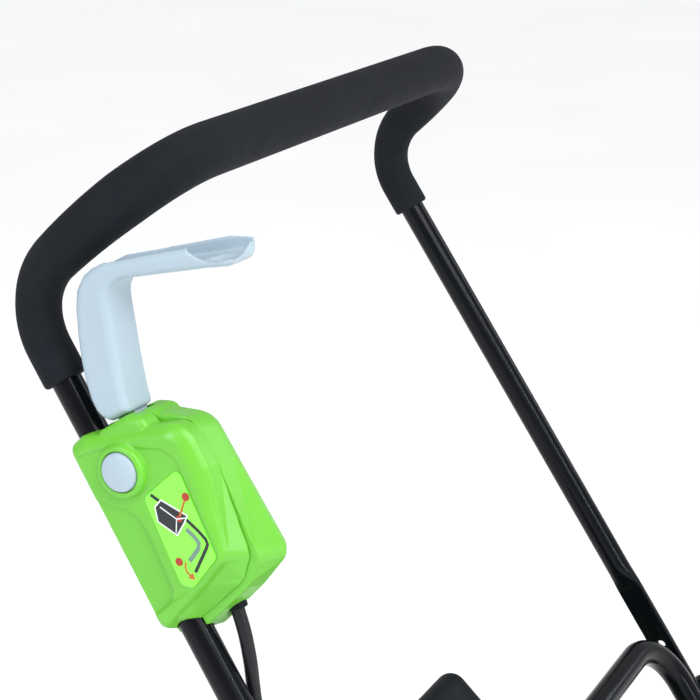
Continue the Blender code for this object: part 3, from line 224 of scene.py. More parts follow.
def surface(name, colour, rough, metal=0.0, spread=0.06, mottle=9.0, grain=900.0, grain_depth=0.00004,
            wave=0.0, wave_depth=0.0, edge=0.0005, coat=0.0, coat_rough=0.1, sheen=0.0, spec=0.5, rough_spread=0.07,
            stretch=(1, 1, 1), scratch=0.0, soil=0.0, aniso=0.0):
    """A moulded, painted or metal surface: mottled colour, uneven gloss, fine
    grain, faint scratches and softened edges."""
    mat, tree, shader = new_material(name)
    shader.inputs["Metallic"].default_value = metal
    shader.inputs["Specular IOR Level"].default_value = spec
    if coat:
        shader.inputs["Coat Weight"].default_value = coat
        shader.inputs["Coat Roughness"].default_value = coat_rough
    if sheen:
        shader.inputs["Sheen Weight"].default_value = sheen
        shader.inputs["Sheen Roughness"].default_value = 0.55
    if aniso:
        shader.inputs["Anisotropic"].default_value = aniso
    coords = node(tree, "ShaderNodeTexCoord").outputs["Object"]
    broad = noise(tree, coords, mottle, 5.0, 0.6)
    base = ramp(tree, broad, [(0.3, scaled(colour, 1 - spread)), (0.7, scaled(colour, 1 + spread))])
    if soil:
        dust = noise(tree, coords, 38.0, 8.0, 0.75)
        mask = ramp(tree, dust, [(0.52, grey(0.0)), (0.74, grey(soil))])
        mix = node(tree, "ShaderNodeMix", data_type="RGBA")
        tree.links.new(mask, mix.inputs["Factor"])
        tree.links.new(base, mix.inputs[6])
        mix.inputs[7].default_value = (0.20, 0.16, 0.12, 1)
        base = mix.outputs[2]
    tree.links.new(base, shader.inputs["Base Color"])
    fine = noise(tree, coords, mottle * 7.0, 6.0, 0.65, stretch)
    gloss = ramp(tree, fine, [(0.28, grey(max(0.02, rough - rough_spread))), (0.72, grey(min(1, rough + rough_spread)))])
    tree.links.new(gloss, shader.inputs["Roughness"])
    bump_in = None
    if edge:
        soft = node(tree, "ShaderNodeBevel", samples=4)
        soft.inputs["Radius"].default_value = edge
        bump_in = soft.outputs["Normal"]
    layers = [(noise(tree, coords, grain, 3.0, 0.6, stretch), grain_depth)]
    if wave_depth:
        layers.append((noise(tree, coords, wave, 2.0, 0.5), wave_depth))
    if scratch:
        long = noise(tree, coords, 420.0, 2.0, 0.5, (0.04, 1.0, 0.6))
        layers.append((ramp(tree, long, [(0.62, grey(1.0)), (0.70, grey(0.0))]), scratch))
    for fac, depth in layers:
        bump = node(tree, "ShaderNodeBump")
        bump.inputs["Strength"].default_value = 1.0
        bump.inputs["Distance"].default_value = depth
        tree.links.new(fac, bump.inputs["Height"])
        if bump_in is not None:
            tree.links.new(bump_in, bump.inputs["Normal"])
        bump_in = bump.outputs["Normal"]
    tree.links.new(bump_in, shader.inputs["Normal"])
    return mat


def foam_material(name):
    """Closed-cell foam: matt, faintly blue-black, with tiny open cells."""
    mat, tree, shader = new_material(name)
    coords = node(tree, "ShaderNodeTexCoord").outputs["Object"]
    cells = node(tree, "ShaderNodeTexVoronoi", feature="F1")
    cells.inputs["Scale"].default_value = 1150.0
    tree.links.new(coords, cells.inputs["Vector"])
    broad = noise(tree, coords, 16.0, 6.0, 0.65)
    base = ramp(tree, broad, [(0.3, (0.0062, 0.0072, 0.0100)), (0.7, (0.0085, 0.0100, 0.0140))])
    speck = noise(tree, coords, 640.0, 2.0, 0.5)
    light = ramp(tree, speck, [(0.62, grey(0.0)), (0.76, grey(0.22))])
    mix = node(tree, "ShaderNodeMix", data_type="RGBA")
    tree.links.new(light, mix.inputs["Factor"])
    tree.links.new(base, mix.inputs[6])
    mix.inputs[7].default_value = (0.022, 0.025, 0.033, 1)
    tree.links.new(mix.outputs[2], shader.inputs["Base Color"])
    rough = ramp(tree, noise(tree, coords, 60.0, 5.0, 0.7), [(0.3, grey(0.74)), (0.7, grey(0.90))])
    tree.links.new(rough, shader.inputs["Roughness"])
    shader.inputs["Specular IOR Level"].default_value = 0.17
    shader.inputs["Sheen Weight"].default_value = 0.012
    shader.inputs["Sheen Roughness"].default_value = 0.5
    last = None
    for fac, depth in ((cells.outputs["Distance"], 0.00016), (noise(tree, coords, 190.0, 5.0, 0.7), 0.00022),
                       (noise(tree, coords, 34.0, 3.0, 0.6), 0.0004)):
        bump = node(tree, "ShaderNodeBump")
        bump.inputs["Strength"].default_value = 1.0
        bump.inputs["Distance"].default_value = depth
        tree.links.new(fac, bump.inputs["Height"])
        if last is not None:
            tree.links.new(last, bump.inputs["Normal"])
        last = bump.outputs["Normal"]
    tree.links.new(last, shader.inputs["Normal"])
    return mat


def floor_material(name):
    mat, tree, shader = new_material(name)
    coords = node(tree, "ShaderNodeTexCoord").outputs["Object"]
    base = ramp(tree, noise(tree, coords, 1.5, 3.0, 0.5), [(0.3, grey(0.93)), (0.7, grey(0.96))])
    tree.links.new(base, shader.inputs["Base Color"])
    shader.inputs["Roughness"].default_value = 0.85
    return mat


LOOK = {
    "tube_black_paint": surface("black_paint", (0.0026, 0.0032, 0.0044), 0.20, spread=0.12, grain=2600, grain_depth=0.000006,
                                wave=70, wave_depth=0.00002, spec=0.17, rough_spread=0.04, scratch=0.000003),
    "foam_black": foam_material("foam"),
    "shell_green": surface("green_plastic", (0.138, 0.495, 0.028), 0.36, spread=0.05, mottle=14, grain=1500,
                           grain_depth=0.00003, edge=0.0007, coat=0.12, coat_rough=0.3, rough_spread=0.06),
    "label_print": surface("label_film", (0.25, 0.97, 0.065), 0.36, spread=0.03, grain=2400, grain_depth=0.000008,
                           edge=0, rough_spread=0.04),
    "lever_pale": surface("pale_plastic", (0.385, 0.475, 0.54), 0.38, spread=0.025, mottle=14, grain=1700,
                          grain_depth=0.000022, edge=0.0007, coat=0.1, coat_rough=0.3, rough_spread=0.05),
    "plastic_black": surface("black_plastic", (0.0040, 0.0052, 0.0072), 0.50, spec=0.15, spread=0.10, grain=1100, grain_depth=0.00007,
                             edge=0.0006, rough_spread=0.08),
    "steel_zinc": surface("zinc_steel", (0.52, 0.53, 0.55), 0.30, 1.0, spread=0.08, grain=900, grain_depth=0.00002,
                          edge=0.0003, rough_spread=0.09, stretch=(1, 1, 0.2), aniso=0.3),
    "spring_wire": surface("spring_wire", (0.42, 0.43, 0.45), 0.27, 1.0, spread=0.08, grain=1500, grain_depth=0.00001,
                           edge=0, rough_spread=0.06),
    "alloy_cast": surface("cast_alloy", (0.50, 0.51, 0.52), 0.46, 0.9, spread=0.07, grain=1300, grain_depth=0.00011,
                          wave=60, wave_depth=0.0001, edge=0.0008, rough_spread=0.08),
    "lamination_iron": surface("laminations", (0.09, 0.09, 0.10), 0.55, 0.7, spread=0.12, grain=500, grain_depth=0.0002,
                               edge=0.0003, stretch=(0.05, 0.05, 3.0)),
    "rotor_metal": surface("rotor_metal", (0.50, 0.36, 0.26), 0.34, 1.0, spread=0.14, grain=700, grain_depth=0.0001,
                           edge=0.0003, stretch=(0.4, 0.4, 2.0)),
    "bronze_gear": surface("bronze", (0.58, 0.38, 0.15), 0.33, 1.0, spread=0.1, grain=800, grain_depth=0.00004,
                           edge=0.0004),
    "tine_black_paint": surface("tine_paint", (0.013, 0.013, 0.014), 0.42, 0.1, spread=0.2, grain=1200, grain_depth=0.00007,
                                wave=120, wave_depth=0.00008, edge=0.0005, soil=0.05, rough_spread=0.12),
    "cable_rubber": surface("cable_rubber", (0.0055, 0.006, 0.0075), 0.42, spread=0.1, grain=1500, grain_depth=0.00003,
                            edge=0, spec=0.35, rough_spread=0.07),
    "wheel_black": surface("wheel_plastic", (0.008, 0.008, 0.009), 0.55, spread=0.12, grain=900, grain_depth=0.00009,
                           edge=0.0008, rough_spread=0.08),
}
for print_name, colour in (("print_black", (0.010, 0.011, 0.012)), ("print_grey", (0.16, 0.26, 0.20)),
                           ("print_white", (0.78, 0.82, 0.80)), ("print_red", (0.42, 0.030, 0.010)),
                           ("print_orange", (0.52, 0.13, 0.012))):
    LOOK[print_name] = surface(print_name, colour, 0.38, spread=0.05, grain=2400, grain_depth=0.000006, edge=0,
                               rough_spread=0.04)
floor.data.materials.append(floor_material("studio_floor"))

SLOT_OF = {part["node"]: part["material_slot"] for part in frame["record"]["subparts"] if part.get("material_slot")}
BODY_OF = {}
for body_name, members in frame["record"]["behaviour"]["bodies"].items():
    for member in members:
        BODY_OF[member] = body_name
for node_name, cad in frame["nodes"].items():
    cad.data.materials.clear()
    cad.data.materials.append(LOOK[SLOT_OF[node_name]])


# ---------------------------------------------------------------- mesh helpers
def bare(name, verts, faces):
    """An object from millimetre points, its faces turned outwards; place_piece later moves it by Y_SHIFT and scales it
    to metres.
    """
    mesh = bpy.data.meshes.new(name)
    mesh.from_pydata([tuple(v) for v in verts], [], faces)
    bm = bmesh.new()
    bm.from_mesh(mesh)
    bmesh.ops.recalc_face_normals(bm, faces=bm.faces)
    if bm.calc_volume(signed=True) < 0:
        bmesh.ops.reverse_faces(bm, faces=bm.faces)
    bm.to_mesh(mesh)
    bm.free()
    obj = bpy.data.objects.new(name, mesh)
    bpy.context.scene.collection.objects.link(obj)
    return obj


def combine(target, other, operation):
    """Applies one exact Boolean and drops the second object."""
    mod = target.modifiers.new("cut", "BOOLEAN")
    mod.operation = operation
    mod.solver = "EXACT"
    mod.object = other
    bpy.context.view_layer.update()
    graph = bpy.context.evaluated_depsgraph_get()
    made = bpy.data.meshes.new_from_object(target.evaluated_get(graph))
    target.modifiers.clear()
    target.data = made
    bpy.data.objects.remove(other, do_unlink=True)
    return target


def cut(target, *others):
    for other in others:
        combine(target, other, "DIFFERENCE")
    return target


def join(target, *others):
    for other in others:
        combine(target, other, "UNION")
    return target


KEEP_CAD = {"button_spring", "lever_return_spring", "switch_module", "motor_stator", "motor_rotor", "upper_motor_bearing",
            "lower_motor_bearing", "worm_wheel", "lever_pivot_pin"}
BENDS = {}


def apply_modifiers(obj):
    bpy.context.view_layer.update()
    graph = bpy.context.evaluated_depsgraph_get()
    made = bpy.data.meshes.new_from_object(obj.evaluated_get(graph))
    obj.modifiers.clear()
    obj.data = made
    return obj


def moulded(obj, voxel, rounds, factor=0.5):
    """Remeshes a millimetre object evenly and relaxes it, as moulding rounds
    every edge."""
    mod = obj.modifiers.new("even", "REMESH")
    mod.mode = "VOXEL"
    mod.voxel_size = voxel
    mod.adaptivity = 0.0
    mod = obj.modifiers.new("relax", "SMOOTH")
    mod.factor = factor
    mod.iterations = rounds
    return apply_modifiers(obj)


def place_piece(obj, name, slot_name, body, angle=40.0):
    obj.name = name
    obj.data.name = name
    obj.data.transform(Matrix.Translation((0, Y_SHIFT, 0)))
    obj.data.transform(Matrix.Scale(MM, 4))
    obj.data.materials.clear()
    obj.data.materials.append(LOOK[slot_name])
    obj.data.shade_smooth()
    if angle:
        obj.data.set_sharp_from_angle(angle=math.radians(angle))
    return obj


def finish(obj, name, look, origin=None, angle=40.0):
    """Hands a rebuilt piece over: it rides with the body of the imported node
    that it stands for."""
    if name in KEEP_CAD:
        bpy.data.objects.remove(obj, do_unlink=True)
        return None
    bm = bmesh.new()
    bm.from_mesh(obj.data)
    bmesh.ops.remove_doubles(bm, verts=bm.verts, dist=2e-3)
    bm.to_mesh(obj.data)
    bm.free()
    if name in MOULDED:
        voxel, rounds = MOULDED[name]
        moulded(obj, voxel, rounds)
        angle = 0.0
    place_piece(obj, "fine_" + name, SLOT_OF[name], BODY_OF[name], angle)
    if name == "motor_cable":
        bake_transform(obj)
    else:
        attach(obj, BODY_OF[name])
    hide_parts(name)
    return obj


MOULDED = {
    "switch_housing_outer": (0.62, 5), "switch_housing_inner": (0.75, 5), "switch_lever": (0.55, 14),
    "motor_hood": (1.2, 6), "motor_housing": (1.3, 3), "gearbox_half_right": (0.9, 4), "gearbox_half_left": (0.9, 4),
    "handle_knob_right": (0.45, 5), "handle_knob_left": (0.45, 5), "wheel_arm_knob": (0.45, 5),
    "wheel_right": (0.9, 3), "wheel_left": (0.9, 3), "wheel_arm": (0.8, 3),
}


def unit(v):
    return v / v.length


def frame_axes(direction):
    """Two directions across the given one."""
    d = unit(Vector(direction))
    helper = Vector((0, 0, 1)) if abs(d.z) < 0.9 else Vector((1, 0, 0))
    e1 = unit(d.cross(helper))
    return d, e1, unit(d.cross(e1))


def ring_solid(name, rings, caps=True):
    """A closed solid from equal rings; the first and last are capped."""
    n = len(rings[0])
    verts = [p for ring in rings for p in ring]
    faces = []
    for i in range(len(rings) - 1):
        for j in range(n):
            k = (j + 1) % n
            faces.append((i * n + j, i * n + k, (i + 1) * n + k, (i + 1) * n + j))
    if caps:
        faces.append(tuple(range(n - 1, -1, -1)))
        faces.append(tuple((len(rings) - 1) * n + j for j in range(n)))
    return bare(name, verts, faces)


def lathe(name, at, direction, profile, n=20, turn=0.5):
    """A solid of revolution: profile holds (distance along, radius)."""
    d, e1, e2 = frame_axes(direction)
    at = Vector(at)
    n = n * ROUND
    rings = []
    for along, r in profile:
        rings.append([
            at + d * along
            + (e1 * math.cos(2 * math.pi * (j + turn) / n)
               + e2 * math.sin(2 * math.pi * (j + turn) / n)) * r
            for j in range(n)
        ])
    return ring_solid(name, rings)


def cyl(at, direction, length, r, n=20, turn=0.5):
    return lathe("cyl", at, direction, [(0, r), (length, r)], n, turn)


def sleeve(name, at, direction, length, r_out, r_in, n=20, lip=0.0):
    """A ring with a hole right through, open at both ends."""
    d, e1, e2 = frame_axes(direction)
    at = Vector(at)
    n = n * ROUND
    loop = [(0, r_in), (0, r_out - lip), (lip, r_out), (length - lip, r_out),
            (length, r_out - lip), (length, r_in)] if lip else [
                (0, r_in), (0, r_out), (length, r_out), (length, r_in)]
    verts, faces = [], []
    m = len(loop)
    for j in range(n):
        a = 2 * math.pi * (j + 0.5) / n
        for along, r in loop:
            verts.append(at + d * along + (e1 * math.cos(a) + e2 * math.sin(a)) * r)
    for j in range(n):
        k = (j + 1) % n
        for i in range(m):
            p = (i + 1) % m
            faces.append((j * m + i, k * m + i, k * m + p, j * m + p))
    return bare(name, verts, faces)


def box(lo, hi):
    x0, y0, z0 = lo
    x1, y1, z1 = hi
    v = [(x0, y0, z0), (x1, y0, z0), (x1, y1, z0), (x0, y1, z0),
         (x0, y0, z1), (x1, y0, z1), (x1, y1, z1), (x0, y1, z1)]
    f = [(3, 2, 1, 0), (4, 5, 6, 7), (0, 1, 5, 4), (1, 2, 6, 5), (2, 3, 7, 6), (3, 0, 4, 7)]
    return bare("box", v, f)


def fillet(p, q, s, r, n):
    """The points of an arc of radius r that replaces the corner q."""
    p, q, s = Vector(p), Vector(q), Vector(s)
    a, b = unit(p - q), unit(s - q)
    ang = math.acos(max(-1, min(1, a.dot(b))))
    t = r / math.tan(ang / 2)
    c = q + unit(a + b) * (r / math.sin(ang / 2))
    u, v = (q + a * t - c) / r, (q + b * t - c) / r
    th = math.pi - ang
    return [c + (u * math.sin((1 - k / (n - 1)) * th) + v * math.sin(k / (n - 1) * th)) * (r / math.sin(th))
            for k in range(n)]


def rounded(points, radii, n=4):
    """A closed 2-D outline with its corners rounded."""
    out = []
    m = len(points)
    n = n * ROUND
    for i, q in enumerate(points):
        p, s, r = points[i - 1], points[(i + 1) % m], radii[i]
        if r <= 0:
            out.append((q[0], q[1]))
            continue
        for w in fillet((p[0], p[1], 0), (q[0], q[1], 0), (s[0], s[1], 0), r, n):
            out.append((w.x, w.y))
    return out


def area(outline):
    return sum(a[0] * b[1] - b[0] * a[1] for a, b in zip(outline, outline[1:] + outline[:1])) / 2


def inset(outline, d):
    """The outline moved inwards by d, corner by corner."""
    sign = 1 if area(outline) > 0 else -1
    out = []
    m = len(outline)
    for i, q in enumerate(outline):
        p, s = outline[i - 1], outline[(i + 1) % m]
        e1 = Vector((q[0] - p[0], q[1] - p[1])).normalized()
        e2 = Vector((s[0] - q[0], s[1] - q[1])).normalized()
        n1, n2 = Vector((-e1.y, e1.x)) * sign, Vector((-e2.y, e2.x)) * sign
        mid = n1 + n2
        mid = mid * (2 / max(mid.length_squared, 0.4)) / 1.0
        out.append((q[0] + mid.x * d, q[1] + mid.y * d))
    return out


def slab(name, outline, lo, hi, place, soft_lo=0.0, soft_hi=0.0, steps=3):
    """An outline extruded from lo to hi, with its two rims rounded.
    place turns (a, b, along) into a point."""
    levels = []
    steps = steps * 2
    if soft_lo:
        for k in range(steps):
            t = k / steps * math.pi / 2
            levels.append((lo + soft_lo * (1 - math.sin(t)), soft_lo * (1 - math.cos(t)), k))
        levels = sorted(((lo + soft_lo * (1 - math.cos(k / steps * math.pi / 2)),
                          soft_lo * (1 - math.sin(k / steps * math.pi / 2))) for k in range(steps + 1)))
    else:
        levels = [(lo, 0.0)]
    if soft_hi:
        levels += sorted(((hi - soft_hi * (1 - math.cos(k / steps * math.pi / 2)),
                           soft_hi * (1 - math.sin(k / steps * math.pi / 2))) for k in range(steps + 1)))
    else:
        levels += [(hi, 0.0)]
    rings = []
    for level, d in levels:
        loop = inset(outline, d) if d > 1e-9 else outline
        rings.append([place(a, b, level) for a, b in loop])
    return ring_solid(name, rings)


def side(y, z, x):
    """Places a side-view outline (y, z) at the given x."""
    return Vector((x, y, z))


def top(x, y, z):
    return Vector((x, y, z))


def spring(name, at, direction, length, r, wire, turns, per_turn=24, n=8):
    """A round-wire coil with flat free ends."""
    d, e1, e2 = frame_axes(direction)
    at = Vector(at)
    rings = []
    total = int(turns * per_turn)
    for i in range(total + 1):
        a = 2 * math.pi * i / per_turn
        out = e1 * math.cos(a) + e2 * math.sin(a)
        c = at + d * (wire + (length - 2 * wire) * i / total) + out * r
        rings.append([c + (out * math.cos(2 * math.pi * j / n) + d * math.sin(2 * math.pi * j / n)) * wire
                      for j in range(n)])
    return ring_solid(name, rings)


# ---------------------------------------------------------------- leg frame
# The switch box, lever and cable are laid out along the right leg: s runs down
# the leg from its corner, w forwards and up from it, n outwards.
U = Vector((math.sin(SPLAY), math.cos(LEG_RISE) * math.cos(SPLAY), -math.sin(LEG_RISE) * math.cos(SPLAY)))
W = Vector((0, math.sin(LEG_RISE), math.cos(LEG_RISE)))
N = U.cross(W)
CORNER = Vector((HALF_W, 0, BEND_Z))


def leg(s, w, n=0.0):
    return CORNER + U * s + W * w + N * n


def leg_slab(name, outline, lo, hi, soft_lo=0.0, soft_hi=0.0, steps=3):
    return slab(name, outline, lo, hi, leg, soft_lo, soft_hi, steps)


def mirrored(v):
    return Vector((-v[0], v[1], v[2]))


# ---------------------------------------------------------------- handle path
def handle_path(near_s, bend_n, grip_n):
    """Centre line of the whole upper handle from the right leg to the left.
    Gives points with the share of grip thickness at each."""
    grip_dir = Vector((0, math.cos(GRIP_RISE), math.sin(GRIP_RISE)))
    c_r, c_l = CORNER, mirrored(CORNER)
    t_r, t_l = c_r + grip_dir * GRIP_LEN, c_l + grip_dir * GRIP_LEN
    e_r = leg(LEG_END, 0)
    first = fillet(e_r, c_r, t_r, R_LEG_BEND, bend_n)
    second = fillet(c_r, t_r, t_l, R_GRIP_BEND, grip_n)
    half = [(leg(s, 0), 0.0) for s in near_s]
    m = len(first)
    half += [(p, 0.35 * max(0.0, (i / (m - 1) - 0.5) / 0.5)) for i, p in enumerate(first)]
    m = len(second)
    half += [(p, min(1.0, 0.35 + 0.65 * i / ((m - 1) * 0.45))) for i, p in enumerate(second)]
    return half + [(mirrored(p), f) for p, f in reversed(half)]


def transported(points, start):
    """Frames carried along a line without twist, one per point."""
    frames = []
    e1 = unit(Vector(start))
    for i, p in enumerate(points):
        a = points[max(i - 1, 0)]
        b = points[min(i + 1, len(points) - 1)]
        t = unit(b - a)
        e1 = unit(e1 - t * e1.dot(t))
        frames.append((p, t, e1, unit(t.cross(e1))))
    return frames


def pipe(name, frames, outer, inner=None, n=12):
    """Sweeps a section along frames. outer and inner give (a, b) for the
    point j of frame i; the ends of a hollow pipe are open."""
    rings = []
    for i, (p, _t, e1, e2) in enumerate(frames):
        rings.append([p + e1 * outer(i, j)[0] + e2 * outer(i, j)[1] for j in range(n)])
    if inner is None:
        return ring_solid(name, rings)
    bore = []
    for i, (p, _t, e1, e2) in enumerate(frames):
        bore.append([p + e1 * inner(i, j)[0] + e2 * inner(i, j)[1] for j in range(n)])
    loops = rings + bore[::-1]
    verts = [p for ring in loops for p in ring]
    faces = []
    m = len(loops)
    for i in range(m):
        q = (i + 1) % m
        for j in range(n):
            k = (j + 1) % n
            faces.append((i * n + j, i * n + k, q * n + k, q * n + j))
    return bare(name, verts, faces)


def round_at(r, n):
    return lambda i, j: (r * math.cos(2 * math.pi * (j + 0.5) / n), r * math.sin(2 * math.pi * (j + 0.5) / n))


# ================================================================ 1 upper tube
TUBE_N = 48
leg_stops = [LEG_END, FLAT_FROM + 26, FLAT_FROM + 20, FLAT_FROM + 13, FLAT_FROM + 6, FLAT_FROM]
path = handle_path(leg_stops, 24, 40)
pts = [p for p, _ in path]
frames = transported(pts, N)
count = len(pts)


def flatness(i):
    k = min(i, count - 1 - i)
    return {0: 1.0, 1: 1.0, 2: 0.9, 3: 0.5, 4: 0.1}.get(k, 0.0)


def tube_outer(i, j):
    a = 2 * math.pi * (j + 0.5) / TUBE_N
    f = flatness(i)
    x, y = TUBE_R * math.cos(a), TUBE_R * math.sin(a)
    flat = max(-FLAT_HALF_T, min(FLAT_HALF_T, x))
    return x + (flat - x) * f, y * (1 + f * (FLAT_HALF_W / TUBE_R - 1))


def tube_inner(i, j):
    a = 2 * math.pi * (j + 0.5) / TUBE_N
    f = flatness(i)
    x, y = TUBE_IN * math.cos(a), TUBE_IN * math.sin(a)
    flat = max(-0.8, min(0.8, x))
    return x + (flat - x) * f, y * (1 + f * 0.25)


tube = pipe("upper_handle_tube", frames, tube_outer, tube_inner, TUBE_N)
for sgn in (1, -1):
    for s, r in ((SPARE_HOLE_S, 3.9), (BOLT_S, 4.3)):
        c = leg(s, 0)
        c = c if sgn > 0 else mirrored(c)
        cut(tube, cyl(c - Vector((12, 0, 0)), (1, 0, 0), 24, r, 12))
finish(tube, "upper_handle_tube", "black_tube")

# ================================================================ 2 foam grip
FOAM_N = 64
foam_stops = [FOAM_END_S, FOAM_END_S - 0.5, FOAM_END_S - 1.2, FOAM_END_S - 2.4]
fpath = handle_path(foam_stops, 24, 40)
fpts = [p for p, _ in fpath]
fframes = transported(fpts, N)
fcount = len(fpts)


def foam_outer(i, j):
    share = fpath[i][1]
    r = FOAM_LEG_R + (FOAM_BAR_R - FOAM_LEG_R) * share
    r -= {0: 1.5, 1: 0.8, 2: 0.25}.get(min(i, fcount - 1 - i), 0.0)
    return round_at(r, FOAM_N)(i, j)


foam = pipe("handle_foam_grip", fframes, foam_outer,
            round_at((TUBE_R + GAP) / math.cos(math.pi / FOAM_N) + 0.1, FOAM_N), FOAM_N)
finish(foam, "handle_foam_grip", "foam")

# ================================================================ 3 lower frame
FR_N = 48


def frame_point(s):
    """A point on the right leg of the lower frame."""
    flat = leg(s, FRAME_OFF)
    return Vector((HALF_W + s * math.sin(SPLAY) - FRAME_IN_OFF, flat.y, flat.z))


f_top = frame_point(FRAME_TOP_S)
f_foot = frame_point(FRAME_END_S)
socket_y, socket_z = f_foot.y, f_foot.z
CLAMP_X = 77.0
corner = fillet(f_foot, f_top, mirrored(f_top), FRAME_BEND_R, 20)
foot = fillet((60, socket_y, socket_z), f_foot, f_top, FRAME_FOOT_R, 20)
halfway = [Vector((58, socket_y, socket_z)), Vector((150, socket_y, socket_z))] + foot + corner
frame_pts = halfway + [mirrored(p) for p in reversed(halfway)]
fr = transported(frame_pts, (0, 0, 1))
lower = pipe("lower_handle_frame", fr, round_at(FRAME_R, FR_N), round_at(FRAME_IN, FR_N), FR_N)
bolt_c = leg(BOLT_S, 0)
frame_w = 0.0
for sgn in (1, -1):
    c = bolt_c if sgn > 0 else mirrored(bolt_c)
    cut(lower, cyl((c.x - sgn * 30, c.y, c.z), (sgn, 0, 0), 34, 4.3, 12))
    cut(lower, cyl((sgn * CLAMP_X, socket_y, socket_z - 14), (0, 0, 1), 28, 2.9, 12))
finish(lower, "lower_handle_frame", "black_tube")

# ================================================================ 4-7 bolts and knobs
for sgn, word in ((1, "right"), (-1, "left")):
    x_face = sgn * (bolt_c.x + FLAT_HALF_T)
    x_in = sgn * (bolt_c.x - 3 - 2 * FRAME_R - 1.2)
    d = (sgn, 0, 0)
    bolt = lathe("b", (x_in, bolt_c.y, bolt_c.z), d,
                 [(-5.2, 3.0), (-4.6, 5.4), (-0.9, 7.2), (-0.9 + 0.6, 7.2), (-0.3, 3.8), (43.2, 3.8), (43.9, 3.2)], 12)
    finish(bolt, "handle_bolt_" + word, "steel", (x_in, bolt_c.y, bolt_c.z))
    start = x_face + sgn * 0.35
    knob = lathe("k", (start, bolt_c.y, bolt_c.z), d,
                 [(0, 9.0), (2, 10.5), (14, 10.0), (18, 7.0)], 16)
    for q in (0, 1, 2):
        a = math.radians(90 + 120 * q)
        cy, cz = bolt_c.y + 11.5 * math.cos(a), bolt_c.z + 11.5 * math.sin(a)
        join(knob, lathe("lobe", (start + sgn * 3.0, cy, cz), d, [(0, 8.0), (10.5, 8.2), (12.5, 6.8)], 12))
    cut(knob, cyl((start - sgn * 2, bolt_c.y, bolt_c.z), d, 17.6, 4.15, 12))
    finish(knob, "handle_knob_" + word, "black_plastic", (start, bolt_c.y, bolt_c.z))

# ================================================================ 8-9 switch box shells
PART_N = 4.0            # parting plane between the two shells
FACE_N = 22.4           # rim of the outer face
PANEL_N = 21.2          # the panel inside the rim, with the button and label
BACK_N = -28.0
CORNER_N = 4            # points in each rounded corner of the shells


def between(a, b, share):
    """A line part of the way from outline a to outline b."""
    return [(p[0] + (q[0] - p[0]) * share, p[1] + (q[1] - p[1]) * share) for p, q in zip(a, b)]


def loft(name, outline_at, place):
    """A solid through matching outlines, each given with its level."""
    made = ring_solid(name, [[place(a, b, level) for a, b in outline] for level, outline in outline_at])
    bm = bmesh.new()
    bm.from_mesh(made.data)
    bmesh.ops.triangulate(bm, faces=[f for f in bm.faces if len(f.verts) == 4])
    bm.to_mesh(made.data)
    bm.free()
    return made


# The outer shell stands on the parting plane and rounds over a broad rim band.
outer_foot = rounded(
    [(98, -12.3), (97.0, 5), (119.5, 78.5), (150, 78.5), (209, 67.6), (222.5, 52), (231.5, 12), (232, -12.3)],
    [4, 10, 15, 12, 11, 12, 10, 4], CORNER_N)
outer_ridge = rounded(
    [(99.5, -8.4), (96.8, 4), (118.5, 80.5), (150, 79.2), (204.5, 61.6), (213.5, 38), (224, 3), (229.5, -10.4)],
    [4, 9, 18, 14, 11, 12, 10, 4], CORNER_N)
outer_face = rounded(
    [(105.5, -3.4), (105, 7), (123.5, 70), (149, 69), (200, 56.5), (207.5, 36), (218.5, 2), (223, -5)],
    [3, 5, 9, 8, 6, 7, 6, 3], CORNER_N)
inner_seam = rounded(
    [(98.2, -12.0), (97.6, 30), (117.9, 77.2), (150, 77.9), (213, 71.5), (226, 53), (236.5, 12), (236, -12.0)],
    [4, 8, 15, 12, 11, 12, 10, 4], CORNER_N)
inner_line = rounded(
    [(97.6, -9.3), (98.8, 40), (120.5, 75.6), (150, 76.2), (219.5, 78.6), (230.5, 50), (242.4, 8), (238.5, -9.3)],
    [5, 12, 20, 14, 9, 14, 8, 5], CORNER_N)
inner_back = rounded(
    [(109, 2), (111, 37), (128, 64.5), (149, 65.0), (209, 66), (218, 44), (228, 8), (226, 2)],
    [4, 8, 9, 10, 6, 9, 6, 4], CORNER_N)
dome_line = rounded([(124, 2), (104, 9), (98.8, 19), (98.8, 42), (104, 52), (124, 58)], [2, 7, 7, 7, 7, 2], 2)
cavity_line = rounded(
    [(104, 16), (112, 46), (123.5, 65), (134, 72), (198, 58), (209, 44), (218, 16)],
    [3, 4, 5, 5, 5, 6, 3], 2)
BUTTON = (127.6, 24.6)
PIVOT = (118.5, 33.0)
SCREWS = ((139.0, 61.6), (205.5, 58.6))
SLOT_LINE = [(88, 15.5), (112, 15.5), (112, 44.5), (88, 44.5)]
SWING_LINE = [(88, 10.5), (102.6, 10.5), (102.6, 24), (99.6, 31), (88, 31)]
CABLE_R = 4.5
BOSS_LO, BOSS_HI = BACK_N + 2.0, 18.5


def open_for_lever(shell):
    cut(shell, leg_slab("slot", SLOT_LINE, -10.6, 8.0))
    cut(shell, leg_slab("swing", SWING_LINE, -15.8, 15.8))


outer_shell = loft("outer", [(PART_N, outer_foot), (16.0, outer_ridge), (19.2, between(outer_ridge, outer_face, 0.28)),
                             (21.4, between(outer_ridge, outer_face, 0.62)), (FACE_N, outer_face)], leg)
join(outer_shell, leg_slab("dome", dome_line, PART_N + 0.25, 19.0, 0, 5.0, 2))
cut(outer_shell, leg_slab("c", cavity_line, PART_N - 5, 17.6))
boss = cyl(leg(SCREWS[0][0], SCREWS[0][1], PART_N + 0.3), N, 15.2, 3.6, 12)
join(outer_shell, boss)
cut(outer_shell, cyl(leg(70, 0), U, 190, TUBE_R + GAP + 0.3, 14, 0.0))
panel_line = [(107.5, -22), (107.5, 2), (111, 23.3), (119.3, 42.8), (127, 58.5), (135.1, 64.2), (148.5, 63.8), (173.2, 61.8),
              (198, 59.5), (205.5, 54), (211.5, 36.6), (213.4, 12.0), (216.5, -4), (216.5, -22)]
